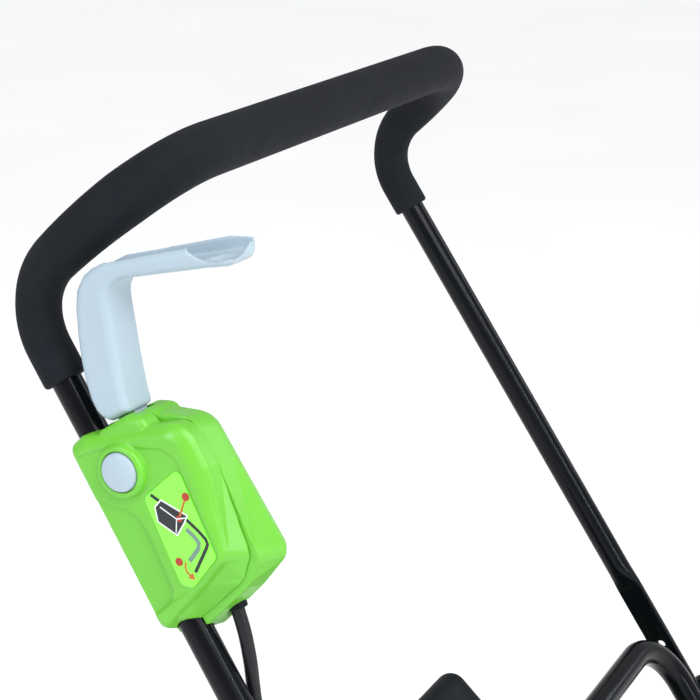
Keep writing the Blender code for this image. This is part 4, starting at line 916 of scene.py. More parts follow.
cut(outer_shell, leg_slab("panel", panel_line, PANEL_N, FACE_N + 4))
band_line = [(136.9, -22), (136.9, -3.8), (143.2, 3.2), (150, 12), (158, 17.5), (172, 18), (190, 16.2), (206, 14.7),
             (212, 10), (215.5, -3.4), (215.5, -22)]
cut(outer_shell, leg_slab("band", band_line, PANEL_N - 2.3, FACE_N + 4))
join(outer_shell, lathe("collar", leg(BUTTON[0], BUTTON[1], 15.0), N,
                        [(0, 17.6), (8.0, 17.4), (10.6, 16.6), (11.6, 15.0)], 20))
cut(outer_shell, cyl(leg(BUTTON[0], BUTTON[1], 10.0), N, 30, 13.05, 20))
open_for_lever(outer_shell)
for s, w in SCREWS:
    cut(outer_shell, cyl(leg(s, w, PART_N - 2), N, 8.6, 1.9, 10))
label_line = rounded([(141.5, 62.6), (148, 28.2), (206, 22.3), (211.0, 30), (200.5, 57)], [4, 5, 5, 4, 5], 3)
cut(outer_shell, leg_slab("c", label_line, PANEL_N - 0.8, FACE_N + 3))
finish(outer_shell, "switch_housing_outer", "green")

inner_shell = loft("inner", [(BACK_N, inner_back), (-26.2, between(inner_line, inner_back, 0.56)),
                             (-22.5, between(inner_line, inner_back, 0.22)), (-16.0, inner_line),
                             (PART_N - GAP, inner_seam)], leg)
join(inner_shell, leg_slab("dome", dome_line, -24.0, PART_N - GAP - 0.25, 5.0, 0, 2))
cut(inner_shell, leg_slab("c", cavity_line, BACK_N + 3.4, PART_N + 5))
boss = cyl(leg(SCREWS[0][0], SCREWS[0][1], BACK_N + 2.0), N, PART_N - GAP - 0.3 - BACK_N - 2.0, 4.9, 12)
join(inner_shell, boss)
cut(inner_shell, cyl(leg(70, 0), U, 190, TUBE_R + GAP + 0.3, 14, 0.0))
open_for_lever(inner_shell)
gland_at = leg(216, 31.0, -13)
gland_dir = unit(U * 1.0 + W * -0.28)
cut(inner_shell, cyl(gland_at - gland_dir * 4, gland_dir, 40, 7.2, 14))
join(inner_shell, cyl(leg(PIVOT[0], PIVOT[1], BACK_N + 1), N, 9.5, 6.0, 14))
cut(inner_shell, cyl(leg(PIVOT[0], PIVOT[1], BACK_N + 3), N, 20, 3.35, 14))
cut(inner_shell, leg_slab("inlet", rounded([(166, 26), (166, 54), (194, 54), (194, 26)], [3, 3, 3, 3], 2), BACK_N - 4, BACK_N + 8))
for s, w in SCREWS:
    cut(inner_shell, cyl(leg(s, w, BACK_N - 2), N, 6, 3.9, 12))
    cut(inner_shell, cyl(leg(s, w, BACK_N - 2), N, 40, 1.9, 12))
finish(inner_shell, "switch_housing_inner", "green")

# ================================================================ 10-11 safety button
BUTTON_N = 19.0
button = lathe("btn", leg(BUTTON[0], BUTTON[1], BUTTON_N), N,
               [(-1.6, 7.0), (-1.6, 12.6), (7.2, 12.6), (8.6, 11.9), (9.3, 9.8)], 20)
finish(button, "safety_button", "pale", leg(BUTTON[0], BUTTON[1], BUTTON_N))
coil = spring("sp", leg(BUTTON[0], BUTTON[1], 10.1), N, BUTTON_N - 1.6 - 0.3 - 10.1, 6.4, 0.5, 3)
finish(coil, "button_spring", "spring_steel", leg(BUTTON[0], BUTTON[1], 10.1))

# ================================================================ 12-14 switch lever
def bend_points(p, q, r, radius, n):
    """A rounded corner as (s, w) pairs."""
    return [(v.x, v.y) for v in fillet((p[0], p[1], 0), (q[0], q[1], 0), (r[0], r[1], 0), radius, n)]


# Side view: the limb rises out of the housing and turns into the arm.
lever_side = (
    [(98.0, 26.5)] + [(98.2, 42.4), (96.4, 43.6), (88, 46.0), (68, 53.6)]
    + bend_points((68, 53.6), (22.6, 73.0), (46.5, 140), 13, 5)
    + [(47.3, 143.0)]
    + bend_points((47.3, 143.0), (54.5, 160.5), (45, 166.5), 8, 5)
    + [(42.5, 167.5), (34.0, 152.0)]
    + [(24.0, 119.0), (14.4, 88.0), (11.3, 78.0), (10.6, 68.0), (12.0, 59.5), (17.5, 50.2), (27.0, 42.8), (42.6, 34.0),
       (56.0, 27.6), (68.0, 23.0), (80.0, 20.2), (88.0, 19.8), (93.5, 21.6)]
)
LEVER_HALF = 15.0
lever = leg_slab("lever", lever_side, -LEVER_HALF, LEVER_HALF, 5.5, 5.5, 2)
# The channel is open towards the grip: along the limb and along the arm.
limb_cut = [(88, 10.0), (87, 30.0), (62, 46.5), (33, 58.0), (14, 70), (0.0, 60.0), (0, 30)]
arm_cut = [(0, 60), (24, 58.5), (19.5, 68.0), (19.2, 76.5), (28.0, 104.0), (47.0, 158.0), (40.0, 182.0), (16.0, 182.0)]
cut(lever, leg_slab("c1", limb_cut, -LEVER_HALF + 3, LEVER_HALF - 3))
cut(lever, leg_slab("c2", arm_cut, -LEVER_HALF + 3, LEVER_HALF - 3))
# The near wall of the arm runs out before the tip.
cut(lever, leg_slab("c3", [(30, 141), (39.5, 144.0), (46.0, 150.0), (51.5, 170.0), (25, 190)], LEVER_HALF - 4, LEVER_HALF + 3))
# The arm ends as an open, scooped gutter: its near wall sweeps down in a soft curve.
scoop_rings = []
for w_at, floor_s, r_at, n_at in ((137, 33, 3, 13), (140, 37.5, 7, 12), (143, 41.5, 12, 11), (146, 44.5, 16, 9.5),
                                  (149.5, 46.8, 19, 8), (155, 49.0, 19.5, 8), (162, 50.6, 19.5, 8), (180, 52, 19.5, 8)):
    scoop_rings.append([leg(floor_s - r_at + r_at * math.cos(math.tau * i / 40), w_at,
                            n_at + r_at * math.sin(math.tau * i / 40)) for i in range(40)])
scoop = ring_solid("scoop", scoop_rings)
scoop_bm = bmesh.new()
scoop_bm.from_mesh(scoop.data)
bmesh.ops.triangulate(scoop_bm, faces=[f for f in scoop_bm.faces if len(f.verts) == 4])
bmesh.ops.recalc_face_normals(scoop_bm, faces=scoop_bm.faces)
if scoop_bm.calc_volume(signed=True) < 0:
    bmesh.ops.reverse_faces(scoop_bm, faces=scoop_bm.faces)
scoop_bm.to_mesh(scoop.data)
scoop_bm.free()
cut(lever, scoop)
root = leg_slab("root", rounded([(126, 28), (126, 38), (112, 40.0), (92, 40.0), (92, 26), (112, 25.5)],
                                [4.5, 4.5, 4, 0, 0, 4], 3), -9.0, 4.5)
join(lever, root)
cut(lever, cyl(leg(PIVOT[0], PIVOT[1], -14), N, 28, 3.12, 20))
finish(lever, "switch_lever", "pale", leg(PIVOT[0], PIVOT[1], 0))
pin = cyl(leg(PIVOT[0], PIVOT[1], BACK_N + 3.4), N, 34.8, 3.0, 20)
finish(pin, "lever_pivot_pin", "steel")
lever_coil = spring("lsp", leg(PIVOT[0], PIVOT[1], BACK_N + 10.9), N, 7.6, 4.6, 0.6, 4)
finish(lever_coil, "lever_return_spring", "spring_steel")

# ================================================================ 15 switch module
module = leg_slab("plate", rounded([(115, 18), (115, 44), (124, 56), (192, 52), (203, 42), (210, 18)], [2] * 6, 2), 7.5, 9.6)
join(module, leg_slab("body", rounded([(150, 20), (150, 53), (190, 50), (200, 42), (200, 20)], [2, 2, 2, 2, 2], 2), -17.0, 8.2))
cut(module, cyl(leg(PIVOT[0], PIVOT[1], 0), N, 30, 3.35, 14))
finish(module, "switch_module", "black_plastic")

# ================================================================ 16 label plate
label = leg_slab("label", inset(label_line, 0.3), PANEL_N - 0.5, PANEL_N + 0.2)
finish(label, "instruction_label", "label")

# ================================================================ 17 mains inlet
inlet = leg_slab("inlet", rounded([(166.3, 26.3), (166.3, 53.7), (193.7, 53.7), (193.7, 26.3)], [3, 3, 3, 3], 2), BACK_N - 4.0, BACK_N + 7.6)
cut(inlet, leg_slab("c", rounded([(169, 29), (169, 51), (191, 51), (191, 29)], [2, 2, 2, 2], 2), BACK_N - 9, BACK_N + 4.5))
for s, w in ((175, 35), (175, 45), (185, 40)):
    join(inlet, leg_slab("p", [(s - 1, w - 2), (s - 1, w + 2), (s + 1, w + 2), (s + 1, w - 2)], BACK_N - 2.5, BACK_N + 6))
finish(inlet, "mains_inlet", "black_plastic")

# ================================================================ 18-19 box screws
for (s, w), word in zip(SCREWS, ("upper", "lower")):
    screw = lathe("sc", leg(s, w, BACK_N + 0.4), N, [(0, 2.2), (0.6, 3.2), (2.9, 3.2), (2.9, 1.5), (37.2, 1.5)], 12)
    finish(screw, "switch_screw_" + word, "steel")

# ================================================================ 20 gland, 21 cable
gland = sleeve("gl", gland_at, gland_dir, 21.0, 6.9, CABLE_R + 0.35, 16)
finish(gland, "box_cable_gland", "black_plastic")

HOOD_X = 68.0
HOOD_GLAND = (268.0, 325.0)     # y, z of the cable entry in the right side of the hood
cable_route = [
    gland_at + gland_dir * 2, gland_at + gland_dir * 12, gland_at + gland_dir * 23,
    leg(254, 20.4, -13.2), leg(271, 13.4, -13.8), leg(284, 6.4, -14.9), leg(298, 0.0, -15.3), leg(318, -3.6, -14.9),
    leg(345, -4.0, -14.8), leg(384, -4.1, -14.8), leg(396, -4.3, -14.8), leg(428, -9.0, -14.4), leg(455, -14.5, -13.8),
    leg(482, -17.8, -14.4), leg(512, -17.2, -17.0), leg(545, -13.8, -20.6), leg(578, -11.2, -22.1),
    leg(604, -10.8, -22.3), leg(622, -11.6, -23.4), leg(640, -14.0, -27.5),
]
cable_route += [Vector(p) for p in (
    (232, 339, 270), (203, 324, 262), (168, 305, 271), (134, 286, 297), (105, 271, 320),
    (HOOD_X + 18, HOOD_GLAND[0], HOOD_GLAND[1]), (HOOD_X + 11, HOOD_GLAND[0], HOOD_GLAND[1]), (HOOD_X - 8, HOOD_GLAND[0], HOOD_GLAND[1]))]


def smooth_line(points, per=3):
    """A smooth line through the points."""
    out = []
    p = [points[0]] + list(points) + [points[-1]]
    for i in range(1, len(p) - 2):
        for k in range(per):
            t = k / per
            a, b, c, d = p[i - 1], p[i], p[i + 1], p[i + 2]
            out.append(0.5 * ((2 * b) + (c - a) * t + (2 * a - 5 * b + 4 * c - d) * t * t
                              + (3 * b - a - 3 * c + d) * t ** 3))
    out.append(p[-2])
    return out


cable = pipe("cable", transported(smooth_line(cable_route, 9), (1, 0, 0)), round_at(CABLE_R, 24), None, 24)
finish(cable, "motor_cable", "rubber")

# ================================================================ 22-23 cable clips


def clip_section(at_w, at_n, tube_w, tube_n, tube_r, cable_r):
    """The outline of a clip across a leg: round the tube and round the cable."""
    out = []
    dw, dn = at_w - tube_w, at_n - tube_n
    lean, reach = math.atan2(dn, dw), math.hypot(dn, dw)
    for k in range(57):
        a = lean + math.radians(48) + math.radians(264) * k / 56
        out.append((tube_w + tube_r * math.cos(a), tube_n + tube_r * math.sin(a)))
    for k in range(33):
        a = lean - math.radians(80) + math.radians(160) * k / 32
        out.append((tube_w + reach * math.cos(lean) + cable_r * math.cos(a),
                    tube_n + reach * math.sin(lean) + cable_r * math.sin(a)))
    return out


def cable_clip(name, s, at, tube_at, tube_r):
    """A clip that snaps round the leg and holds the cable beside it."""
    def place(a, b, t):
        return leg(s + t, a, b)
    (cw, cn), (tw, tn) = at, tube_at
    clip = slab("clip", clip_section(cw, cn, tw, tn, tube_r + 2.3, CABLE_R + 2.3), -5, 5, place)
    cut(clip, cyl(leg(s - 9, tw, tn), U, 18, (tube_r + GAP) / math.cos(math.pi / 16) + 0.05, 16))
    cut(clip, cyl(leg(s - 9, cw, cn), U, 18, CABLE_R + 0.55, 12))
    d = Vector((tw - cw, tn - cn)).normalized()
    e = Vector((-d.y, d.x))
    gate = []
    for a, b in ((tube_r - 4, -4), (tube_r + 5, -4), (tube_r + 5, 4), (tube_r - 4, 4)):
        q = Vector((tw, tn)) + d * a + e * b
        gate.append((q.x, q.y))
    cut(clip, slab("gate", gate, -9, 9, place))
    finish(clip, name, "black_plastic")


cable_clip("cable_clip_upper", 345, (-4.0, -14.8), (0.0, 0.0), TUBE_R)
cable_clip("cable_clip_middle", 384, (-4.1, -14.8), (0.0, 0.0), TUBE_R)
cable_clip("cable_clip_lower", 604, (-10.8, -22.3), (FRAME_OFF, -FRAME_IN_OFF), FRAME_R)

# ================================================================ 25 motor hood, 26 motor housing
hood_side = rounded(
    [(142, 290.3), (152.6, 470.0), (300, 334), (370, 301), (404, 270.3)],
    [0, 13, 40, 46, 0], 5)
hood = slab("hood", hood_side, -HOOD_X, HOOD_X, side, 9.5, 9.5, 3)
hood_in = rounded([(145.4, 270), (155.9, 462.0), (298.5, 330.2), (367, 297.6), (399, 262)], [0, 10, 38, 42, 0], 4)
cut(hood, slab("c", hood_in, -HOOD_X + 3.2, HOOD_X - 3.2, side, 7, 7, 2))
for sgn in (1, -1):
    for k in range(4):
        y = 182 + k * 20
        z1 = 398 - (y - 170) * 0.72
        cut(hood, slab("v", rounded([(y - 3, 322), (y - 3, z1), (y + 3, z1 - 4), (y + 3, 322)], [0, 0, 0, 0], 2),
                       sgn * HOOD_X - 9, sgn * HOOD_X + 9, side))
cut(hood, cyl((HOOD_X - 10, HOOD_GLAND[0], HOOD_GLAND[1]), (1, 0, 0), 24, 7.4, 16))
for x in (-50, 50):
    join(hood, box((x - 5.5, 141.9, 292), (x + 5.5, 163.5, 310)))
    cut(hood, cyl((x, 158, 285), (0, 0, 1), 19.5, 2.2, 10))
finish(hood, "motor_hood", "black_plastic")

hood_gland = sleeve("hg", (HOOD_X - 5.5, HOOD_GLAND[0], HOOD_GLAND[1]), (1, 0, 0), 15, 7.0, CABLE_R + 0.35, 16)
finish(hood_gland, "motor_cable_gland", "black_plastic")

housing_side = rounded(
    [(141.5, 290), (403.8, 270), (408, 232), (394, 210.4), (158, 210.4), (144, 226)],
    [0, 0, 14, 12, 12, 10], 3)
housing = slab("housing", housing_side, -HOOD_X - 2, HOOD_X + 2, side, 9, 9, 2)
housing_in = rounded([(146, 305), (400, 296), (404, 234), (391.5, 215), (160, 215), (148, 228)], [0, 0, 12, 10, 10, 8], 2)
cut(housing, slab("c", housing_in, -HOOD_X + 2, HOOD_X - 2, side, 5, 5, 2))
for sgn in (1, -1):
    boss = lathe("boss", (sgn * 52, socket_y, socket_z), (sgn, 0, 0), [(0, 17.5), (29, 17.5), (32, 15.5)], 20)
    join(housing, boss)
for sgn in (1, -1):
    cut(housing, cyl((sgn * 56, socket_y, socket_z), (sgn, 0, 0), 40, FRAME_R + GAP + 0.2, 20))
    cut(housing, cyl((sgn * CLAMP_X, socket_y, socket_z - 24), (0, 0, 1), 48, 2.9, 12))
    cut(housing, cyl((sgn * 50, 158, 205), (0, 0, 1), 20, 4.2, 12))
cut(housing, cyl((0, MOTOR_Y, 200), (0, 0, 1), 30, 12.5, 24))
# Ears behind the housing carry the wheel arm.
for sgn in (1, -1):
    ear = slab("ear", rounded([(150, 226), (150, 256), (ARM_PIVOT_Y, ARM_PIVOT_Z + 13), (ARM_PIVOT_Y - 13, ARM_PIVOT_Z),
                               (ARM_PIVOT_Y, ARM_PIVOT_Z - 13)], [0, 0, 9, 9, 9], 3),
               sgn * 15.0 - 2.5, sgn * 15.0 + 2.5, side)
    join(housing, ear)
cut(housing, cyl((-30, ARM_PIVOT_Y, ARM_PIVOT_Z), (1, 0, 0), 60, 4.4, 16))
for sgn in (1, -1):
    for k in range(2):
        y = 300 + k * 26
        cut(housing, box((sgn * 70 - 8, y - 8, 238), (sgn * 70 + 8, y + 8, 243)))
finish(housing, "motor_housing", "green")

for sgn, word in ((1, "right"), (-1, "left")):
    hs = lathe("hs", (sgn * 50, 158, 211.0), (0, 0, 1), [(0, 2.4), (0.6, 3.7), (3.4, 3.7), (3.4, 1.9), (92, 1.9)], 12)
    finish(hs, "hood_screw_" + word, "steel")
    cb = lathe("cb", (sgn * CLAMP_X, socket_y, socket_z - 18.6), (0, 0, 1), [(-3.4, 5.0), (0.2, 5.0), (0.2, 2.5), (34.5, 2.5)], 12)
    finish(cb, "frame_clamp_bolt_" + word, "steel")

# ================================================================ motor
stator = sleeve("stator", (0, MOTOR_Y, 238), (0, 0, 1), 66, 43.0, 25.0, 24)
for q in range(4):
    a = math.radians(45 + 90 * q)
    # Feet that stand on the housing floor.
    join(stator, cyl((36 * math.cos(a), MOTOR_Y + 36 * math.sin(a), 215.4), (0, 0, 1), 26, 4.5, 10))
finish(stator, "motor_stator", "iron")

rotor = lathe("rotor", (0, MOTOR_Y, 0), (0, 0, 1),
              [(62.5, 5.0), (78, 5.0), (79, 7.9), (83, 6.9), (87, 7.9), (91, 6.9), (95, 7.9), (99, 6.9), (103, 7.9),
               (107, 6.9), (111, 7.9), (115, 6.9), (119, 7.9), (121, 6.0), (222.0, 6.0), (222.4, 22.0), (225.0, 22.0),
               (225.4, 6.0), (240, 6.0), (240.5, 23.8), (302, 23.8), (302.5, 15.0), (322, 15.0), (322.5, 6.0),
               (338, 6.0)], 14)
finish(rotor, "motor_rotor", "copper", (0, MOTOR_Y, 100))

upper_plate = sleeve("up", (0, MOTOR_Y, 326), (0, 0, 1), 8, 13.0, 6.3, 20, 1.0)
join(upper_plate, box((-5, MOTOR_Y - 40, 326.5), (5, MOTOR_Y - 10, 330.5)), box((-5, MOTOR_Y + 10, 326.5), (5, MOTOR_Y + 34, 330.5)))
join(upper_plate, box((-5, MOTOR_Y - 40, 304.5), (5, MOTOR_Y - 35, 330.5)), box((-5, MOTOR_Y + 29, 304.5), (5, MOTOR_Y + 34, 330.5)))
cut(upper_plate, cyl((0, MOTOR_Y, 320), (0, 0, 1), 20, 6.3, 20))
finish(upper_plate, "upper_motor_bearing", "alloy")
low_bearing = sleeve("lb", (0, MOTOR_Y, 203.5), (0, 0, 1), 13, 11.6, 6.3, 20, 0.6)
finish(low_bearing, "lower_motor_bearing", "alloy")

# ================================================================ gearbox
GEAR_HALF = 24.0
gear_side = rounded(
    [(214, 209.9), (214, 62), (228, 54), (300, 54), (318, 80), (318, 124), (298, 146), (258, 150), (258, 209.9)],
    [0, 12, 10, 30, 24, 24, 24, 14, 0], 3)
gear_in = rounded(
    [(221, 196), (221, 66), (233, 60), (297, 60), (312, 82), (312, 122), (294, 140), (250, 144), (249, 196)],
    [0, 8, 8, 24, 20, 20, 20, 8, 0], 2)
for sgn, word in ((1, "right"), (-1, "left")):
    lo, hi = (0.15, GEAR_HALF) if sgn > 0 else (-GEAR_HALF, -0.15)
    half = slab("g", gear_side, lo, hi, side, 0 if sgn > 0 else 5, 5 if sgn > 0 else 0, 2)
    a, b = (-1, 17.0) if sgn > 0 else (-17.0, 1)
    cut(half, slab("c", gear_in, a, b, side))
    join(half, lathe("boss", (sgn * 16.5, AXLE_Y, AXLE_Z), (sgn, 0, 0), [(0, 20), (12, 18.5), (12.8, 17.5)], 18))
    cut(half, cyl((sgn * 10, AXLE_Y, AXLE_Z), (sgn, 0, 0), 24, (AXLE_R + 0.08) / math.cos(math.pi / 20), 20))
    cut(half, cyl((0, MOTOR_Y, 190), (0, 0, 1), 30, 12.0, 16))
    cut(half, cyl((0, MOTOR_Y, 58), (0, 0, 1), 30, 5.7, 14))
    finish(half, "gearbox_half_" + word, "alloy")

teeth = 16
wheel_outline = []
for k in range(teeth):
    for da, r in ((-0.30, 27.0), (-0.16, 29.3), (0.16, 29.3), (0.30, 27.0)):
        a = 2 * math.pi * (k + da) / teeth
        wheel_outline.append((AXLE_Y + r * math.cos(a), AXLE_Z + r * math.sin(a)))
worm_wheel = slab("ww", wheel_outline, -7, 7, side)
join(worm_wheel, cyl((-14, AXLE_Y, AXLE_Z), (1, 0, 0), 28, 14, 24))
cut(worm_wheel, cyl((-20, AXLE_Y, AXLE_Z), (1, 0, 0), 40, (AXLE_R + 0.3) / math.cos(math.pi / 24), 24))
finish(worm_wheel, "worm_wheel", "bronze", (0, AXLE_Y, AXLE_Z))

# ================================================================ tine axle and rotors
AXLE_HALF = 165.0
axle = lathe("ax", (-AXLE_HALF, AXLE_Y, AXLE_Z), (1, 0, 0),
             [(0, AXLE_R - 1), (1, AXLE_R), (2 * AXLE_HALF - 1, AXLE_R), (2 * AXLE_HALF, AXLE_R - 1)], 24)
for x in (-154, 154):
    cut(axle, cyl((x, AXLE_Y, AXLE_Z - 12), (0, 0, 1), 24, 2.6, 10))
finish(axle, "tine_axle", "steel", (0, AXLE_Y, AXLE_Z))

HUB_R = 13.5


def tine_blade(x0, angle, bend):
    """One curved blade with a bent tip, from the hub out to TINE_R."""
    rings = []
    steps = 20
    for k in range(steps + 1):
        t = k / steps
        r = 11.0 + (TINE_R - 11.0) * t
        swing = 0.50 * t ** 1.6
        half_w = (15.5 - 6.5 * t) * (1.0 if t < 0.8 else 1.0 - 0.3 * ((t - 0.8) / 0.2) ** 2)
        lean = bend * max(0.0, (t - 0.42) / 0.58) ** 1.4
        a = angle + swing
        if k == steps:
            r = TINE_R
        cy, cz = AXLE_Y + r * math.cos(a), AXLE_Z + r * math.sin(a)
        # across the blade, in the turning plane
        heading = a + math.atan(r * 0.5 * 1.6 * t ** 0.6 / (TINE_R - 11.0)) * 0.8
        ty, tz = -math.sin(heading), math.cos(heading)
        x = x0 + lean
        th = 2.1 - 0.9 * t
        pts4 = []
        for sa, sb in ((-1, -1), (1, -1), (1, 1), (-1, 1)):
            py, pz = cy + ty * half_w * sa, cz + tz * half_w * sa
            rr = math.hypot(py - AXLE_Y, pz - AXLE_Z)
            if rr > TINE_R:
                py = AXLE_Y + (py - AXLE_Y) * TINE_R / rr
                pz = AXLE_Z + (pz - AXLE_Z) * TINE_R / rr
            pts4.append(Vector((x + sb * th, py, pz)))
        rings.append(pts4)
    return ring_solid("blade", rings)


def tine_rotor(name, x_lo, x_hi, x_star, turn, flip, pin_x=None):
    hub = sleeve(name, (x_lo, AXLE_Y, AXLE_Z), (1, 0, 0), x_hi - x_lo, HUB_R, (AXLE_R + 0.3) / math.cos(math.pi / 16), 16)
    star = cyl((x_star - 2.2, AXLE_Y, AXLE_Z), (1, 0, 0), 4.4, 25, 16)
    for q in range(4):
        join(star, tine_blade(x_star, turn + math.pi / 2 * q, (20 if q % 2 else -20) * flip))
    cut(star, cyl((x_star - 20, AXLE_Y, AXLE_Z), (1, 0, 0), 40, HUB_R - 1.0, 16))
    join(hub, star)
    if pin_x is not None:
        cut(hub, cyl((pin_x, AXLE_Y, AXLE_Z - 20), (0, 0, 1), 40, 2.6, 10))
    finish(hub, name, "tine_paint", (0, AXLE_Y, AXLE_Z))


REACH = -0.5
for sgn, word in ((1, "right"), (-1, "left")):
    lo, hi = sorted((sgn * 30.0, sgn * 96.0))
    tine_rotor("inner_tine_" + word, lo, hi, sgn * 62.0, -math.pi / 2 + REACH, sgn)
    lo, hi = sorted((sgn * 96.3, sgn * 162.0))
    tine_rotor("outer_tine_" + word, lo, hi, sgn * 128.0, -math.pi / 2 + REACH + math.pi / 4, sgn, sgn * 154.0)
    lock = lathe("lock", (sgn * 154.0, AXLE_Y, AXLE_Z - 18.5), (0, 0, 1), [(0, 1.8), (0.6, 2.25), (33.5, 2.25), (33.5, 5.0), (36.5, 5.0), (37.0, 4.4)], 10)
    finish(lock, "tine_pin_" + word, "steel")

# ================================================================ tine guard
GUARD_R = 108.0
guard_line = []
lo_a, hi_a, seg = math.radians(20), math.radians(157), 60
for k in range(seg + 1):
    a = lo_a + (hi_a - lo_a) * k / seg
    guard_line.append((AXLE_Y + (GUARD_R + 2) * math.cos(a), AXLE_Z + (GUARD_R + 2) * math.sin(a)))
for k in range(seg, -1, -1):
    a = lo_a + (hi_a - lo_a) * k / seg
    guard_line.append((AXLE_Y + GUARD_R * math.cos(a), AXLE_Z + GUARD_R * math.sin(a)))
guard = slab("guard", guard_line, -172, 172, side)
for sgn in (1, -1):
    edge = []
    for k in range(seg + 1):
        a = lo_a + (hi_a - lo_a) * k / seg
        edge.append((AXLE_Y + (GUARD_R + 2) * math.cos(a), AXLE_Z + (GUARD_R + 2) * math.sin(a)))
    for k in range(seg, -1, -1):
        a = lo_a + (hi_a - lo_a) * k / seg
        edge.append((AXLE_Y + (GUARD_R - 5) * math.cos(a), AXLE_Z + (GUARD_R - 5) * math.sin(a)))
    lo, hi = sorted((sgn * 171.0, sgn * 174.0))
    join(guard, slab("rim", edge, lo, hi, side))
cut(guard, box((-GEAR_HALF - 1, 212, 180), (GEAR_HALF + 1, 260, 230)))
finish(guard, "tine_guard", "black_plastic")

# ================================================================ wheel arm
arm_dir = Vector((0, WHEEL_Y - ARM_PIVOT_Y, WHEEL_R - ARM_PIVOT_Z))
along = unit(arm_dir)
across = Vector((0, -along.z, along.y))


def arm_outline(pad0, pad1, half):
    """Side view of the arm between its pivot and the wheel axle."""
    p = Vector((0, ARM_PIVOT_Y, ARM_PIVOT_Z))
    q = Vector((0, WHEEL_Y, WHEEL_R))
    out = []
    for k in range(33):
        a = math.pi * k / 32
        v = p + (across * math.cos(a) - along * math.sin(a)) * pad0
        out.append((v.y, v.z))
    for k in range(33):
        a = math.pi * k / 32
        v = q + (-across * math.cos(a) + along * math.sin(a)) * pad1
        out.append((v.y, v.z))
    return out


arm = slab("arm", arm_outline(12.0, 13.0, 8), -12.2, 12.2, side, 2, 2, 2)
slot0 = Vector((0, ARM_PIVOT_Y, ARM_PIVOT_Z)) + along * 34
slot1 = Vector((0, WHEEL_Y, WHEEL_R)) - along * 30
pocket = []
for v, sa in ((slot0, 1), (slot1, 1), (slot1, -1), (slot0, -1)):
    e = v + across * 7.5 * sa
    pocket.append((e.y, e.z))
cut(arm, slab("c", rounded(pocket, [5] * 4, 3), 4, 20, side), slab("c", rounded(pocket, [5] * 4, 3), -20, -4, side))
cut(arm, cyl((-20, ARM_PIVOT_Y, ARM_PIVOT_Z), (1, 0, 0), 40, (4.0 + 0.08) / math.cos(math.pi / 20), 20))
join(arm, cyl((-34, WHEEL_Y, WHEEL_R), (1, 0, 0), 68, 11, 20))
cut(arm, cyl((-40, WHEEL_Y, WHEEL_R), (1, 0, 0), 80, (6.0 + GAP) / math.cos(math.pi / 20), 20))
finish(arm, "wheel_arm", "black_plastic", (0, ARM_PIVOT_Y, ARM_PIVOT_Z))

arm_bolt = lathe("ab", (-18.0, ARM_PIVOT_Y, ARM_PIVOT_Z), (1, 0, 0), [(-5.0, 6.8), (-0.2, 6.8), (-0.2, 4.0), (45.6, 4.0), (46.2, 3.5)], 20)
finish(arm_bolt, "wheel_arm_bolt", "steel")
arm_knob = lathe("ak", (18.0, ARM_PIVOT_Y, ARM_PIVOT_Z), (1, 0, 0), [(0, 9.0), (8, 10), (13, 9), (15.4, 6.5)], 16)
for q in range(2):
    a = math.radians(30 + 180 * q)
    join(arm_knob, lathe("w", (21.0, ARM_PIVOT_Y + 11 * math.cos(a), ARM_PIVOT_Z + 11 * math.sin(a)), (1, 0, 0),
                         [(0, 6.4), (8.0, 6.6), (9.2, 5.8)], 12))
cut(arm_knob, cyl((12, ARM_PIVOT_Y, ARM_PIVOT_Z), (1, 0, 0), 30, 4.35, 20))
finish(arm_knob, "wheel_arm_knob", "black_plastic", (18.0, ARM_PIVOT_Y, ARM_PIVOT_Z))

wheel_axle = lathe("wa", (-130, WHEEL_Y, WHEEL_R), (1, 0, 0), [(0, 5.2), (0.8, 6.0), (259.2, 6.0), (260, 5.2)], 24)
finish(wheel_axle, "wheel_axle", "steel")

for sgn, word in ((1, "right"), (-1, "left")):
    x0 = sgn * (WHEEL_X - 17.0)
    wheel = lathe("wh", (x0, WHEEL_Y, WHEEL_R), (sgn, 0, 0),
                  [(0, 14), (3.5, 15), (4.5, 62.0), (7.5, 68.0), (12, WHEEL_R), (22, WHEEL_R), (26.5, 68.0),
                   (29.5, 62.0), (30.5, 15), (34, 14)], 28, 0.0)
    for lo, hi in ((-1, 11.0), (23.0, 35)):
        # dished sides between hub and rim
        ring = sleeve("dish", (x0 + sgn * lo, WHEEL_Y, WHEEL_R), (sgn, 0, 0), hi - lo, 52, 18, 16)
        cut(wheel, ring)
    for q in range(5):
        a = 2 * math.pi * (q + 0.25) / 5
        cut(wheel, cyl((x0 - sgn * 5, WHEEL_Y + 34 * math.cos(a), WHEEL_R + 34 * math.sin(a)), (sgn, 0, 0), 44, 9.5, 6))
    cut(wheel, cyl((x0 - sgn * 5, WHEEL_Y, WHEEL_R), (sgn, 0, 0), 50, (6.0 + 0.08) / math.cos(math.pi / 24), 24))
    finish(wheel, "wheel_" + word, "black_plastic", (sgn * WHEEL_X, WHEEL_Y, WHEEL_R))
    cap = lathe("cap", (sgn * (WHEEL_X + 17.4), WHEEL_Y, WHEEL_R), (sgn, 0, 0), [(0, 9), (4, 9.4), (6.2, 7.5), (7.4, 4.0)], 20)
    cut(cap, cyl((sgn * (WHEEL_X + 15), WHEEL_Y, WHEEL_R), (sgn, 0, 0), 7.6, 6.35, 20))
    finish(cap, "wheel_cap_" + word, "steel", (sgn * WHEEL_X, WHEEL_Y, WHEEL_R))

# ---------------------------------------------------------------- printed pictogram


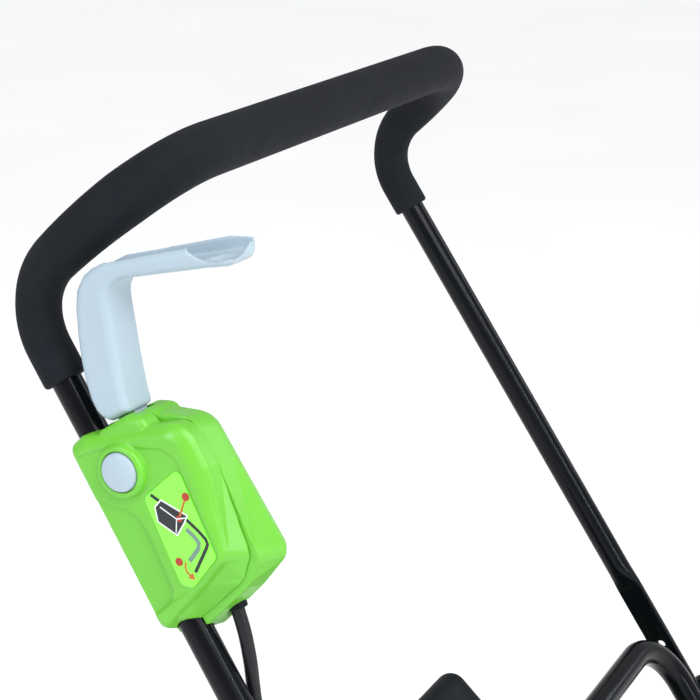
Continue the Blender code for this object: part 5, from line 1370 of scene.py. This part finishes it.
def stroke(points, width, n_level, thick=0.12):
    """A flat ribbon along (s, w) points, standing on the label."""
    out_l, out_r = [], []
    for i, p in enumerate(points):
        a = Vector(points[max(i - 1, 0)])
        b = Vector(points[min(i + 1, len(points) - 1)])
        d = (b - a).normalized()
        e = Vector((-d.y, d.x)) * width / 2
        out_l.append((p[0] + e.x, p[1] + e.y))
        out_r.append((p[0] - e.x, p[1] - e.y))
    return leg_slab("stroke", out_l + out_r[::-1], n_level, n_level + thick)


def printed(obj, name, look):
    place_piece(obj, name, look, "upper_handle")
    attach(obj, "upper_handle")


TOP_N = PANEL_N + 0.19
bar = [(148.4, 34.4), (154.7, 38.4), (164, 45.4), (173.2, 50.7), (181, 54.0), (187.2, 56.0), (190.4, 55.6), (192.4, 53.2),
       (197, 46.0), (202.6, 37.2)]
printed(stroke(bar, 2.2, TOP_N), "pictogram_bar", "print_black")
lever_sign = [(176.6, 46.4), (183, 49.2), (187.4, 50.0), (190.4, 47.8), (192.8, 42.4), (195.0, 37.2)]
printed(stroke(lever_sign, 3.0, TOP_N), "pictogram_lever", "print_grey")
case = [(154.6, 39.4), (169.6, 51.2), (172.5, 47.0), (177.0, 38.4), (165.0, 30.4), (156.6, 33.4)]
grown = inset(case, -1.0)
printed(leg_slab("case", grown, TOP_N, TOP_N + 0.14), "pictogram_case_outline", "print_white")
printed(leg_slab("case", case, TOP_N + 0.1, TOP_N + 0.2), "pictogram_case", "print_black")
printed(stroke([(157.6, 36.6), (168.6, 43.6), (176.0, 38.4)], 0.8, TOP_N + 0.16), "pictogram_case_fold", "print_white")
printed(stroke([(168.6, 43.6), (170.4, 50.0)], 0.8, TOP_N + 0.16), "pictogram_case_edge", "print_white")
printed(stroke([(160.4, 56.0), (168.2, 46.6)], 1.4, TOP_N + 0.12), "pictogram_press_stem", "print_orange")
for k, (s0, w0, r0) in enumerate(((159.1, 57.6, 2.7), (169.2, 45.4, 2.1), (192.6, 29.8, 2.7))):
    printed(cyl(leg(s0, w0, TOP_N + 0.08), N, 0.18, r0, 10), "pictogram_dot_%d" % (k + 1), "print_red")
arc = [(194.8, 34.2), (197.0, 32.0), (200.2, 31.4), (203.0, 32.6)]
printed(stroke(arc, 1.3, TOP_N + 0.04), "pictogram_turn_line", "print_orange")
printed(leg_slab("head", [(202.0, 35.2), (203.9, 29.9), (206.8, 34.4)], TOP_N + 0.04, TOP_N + 0.16), "pictogram_turn_head",
        "print_orange")
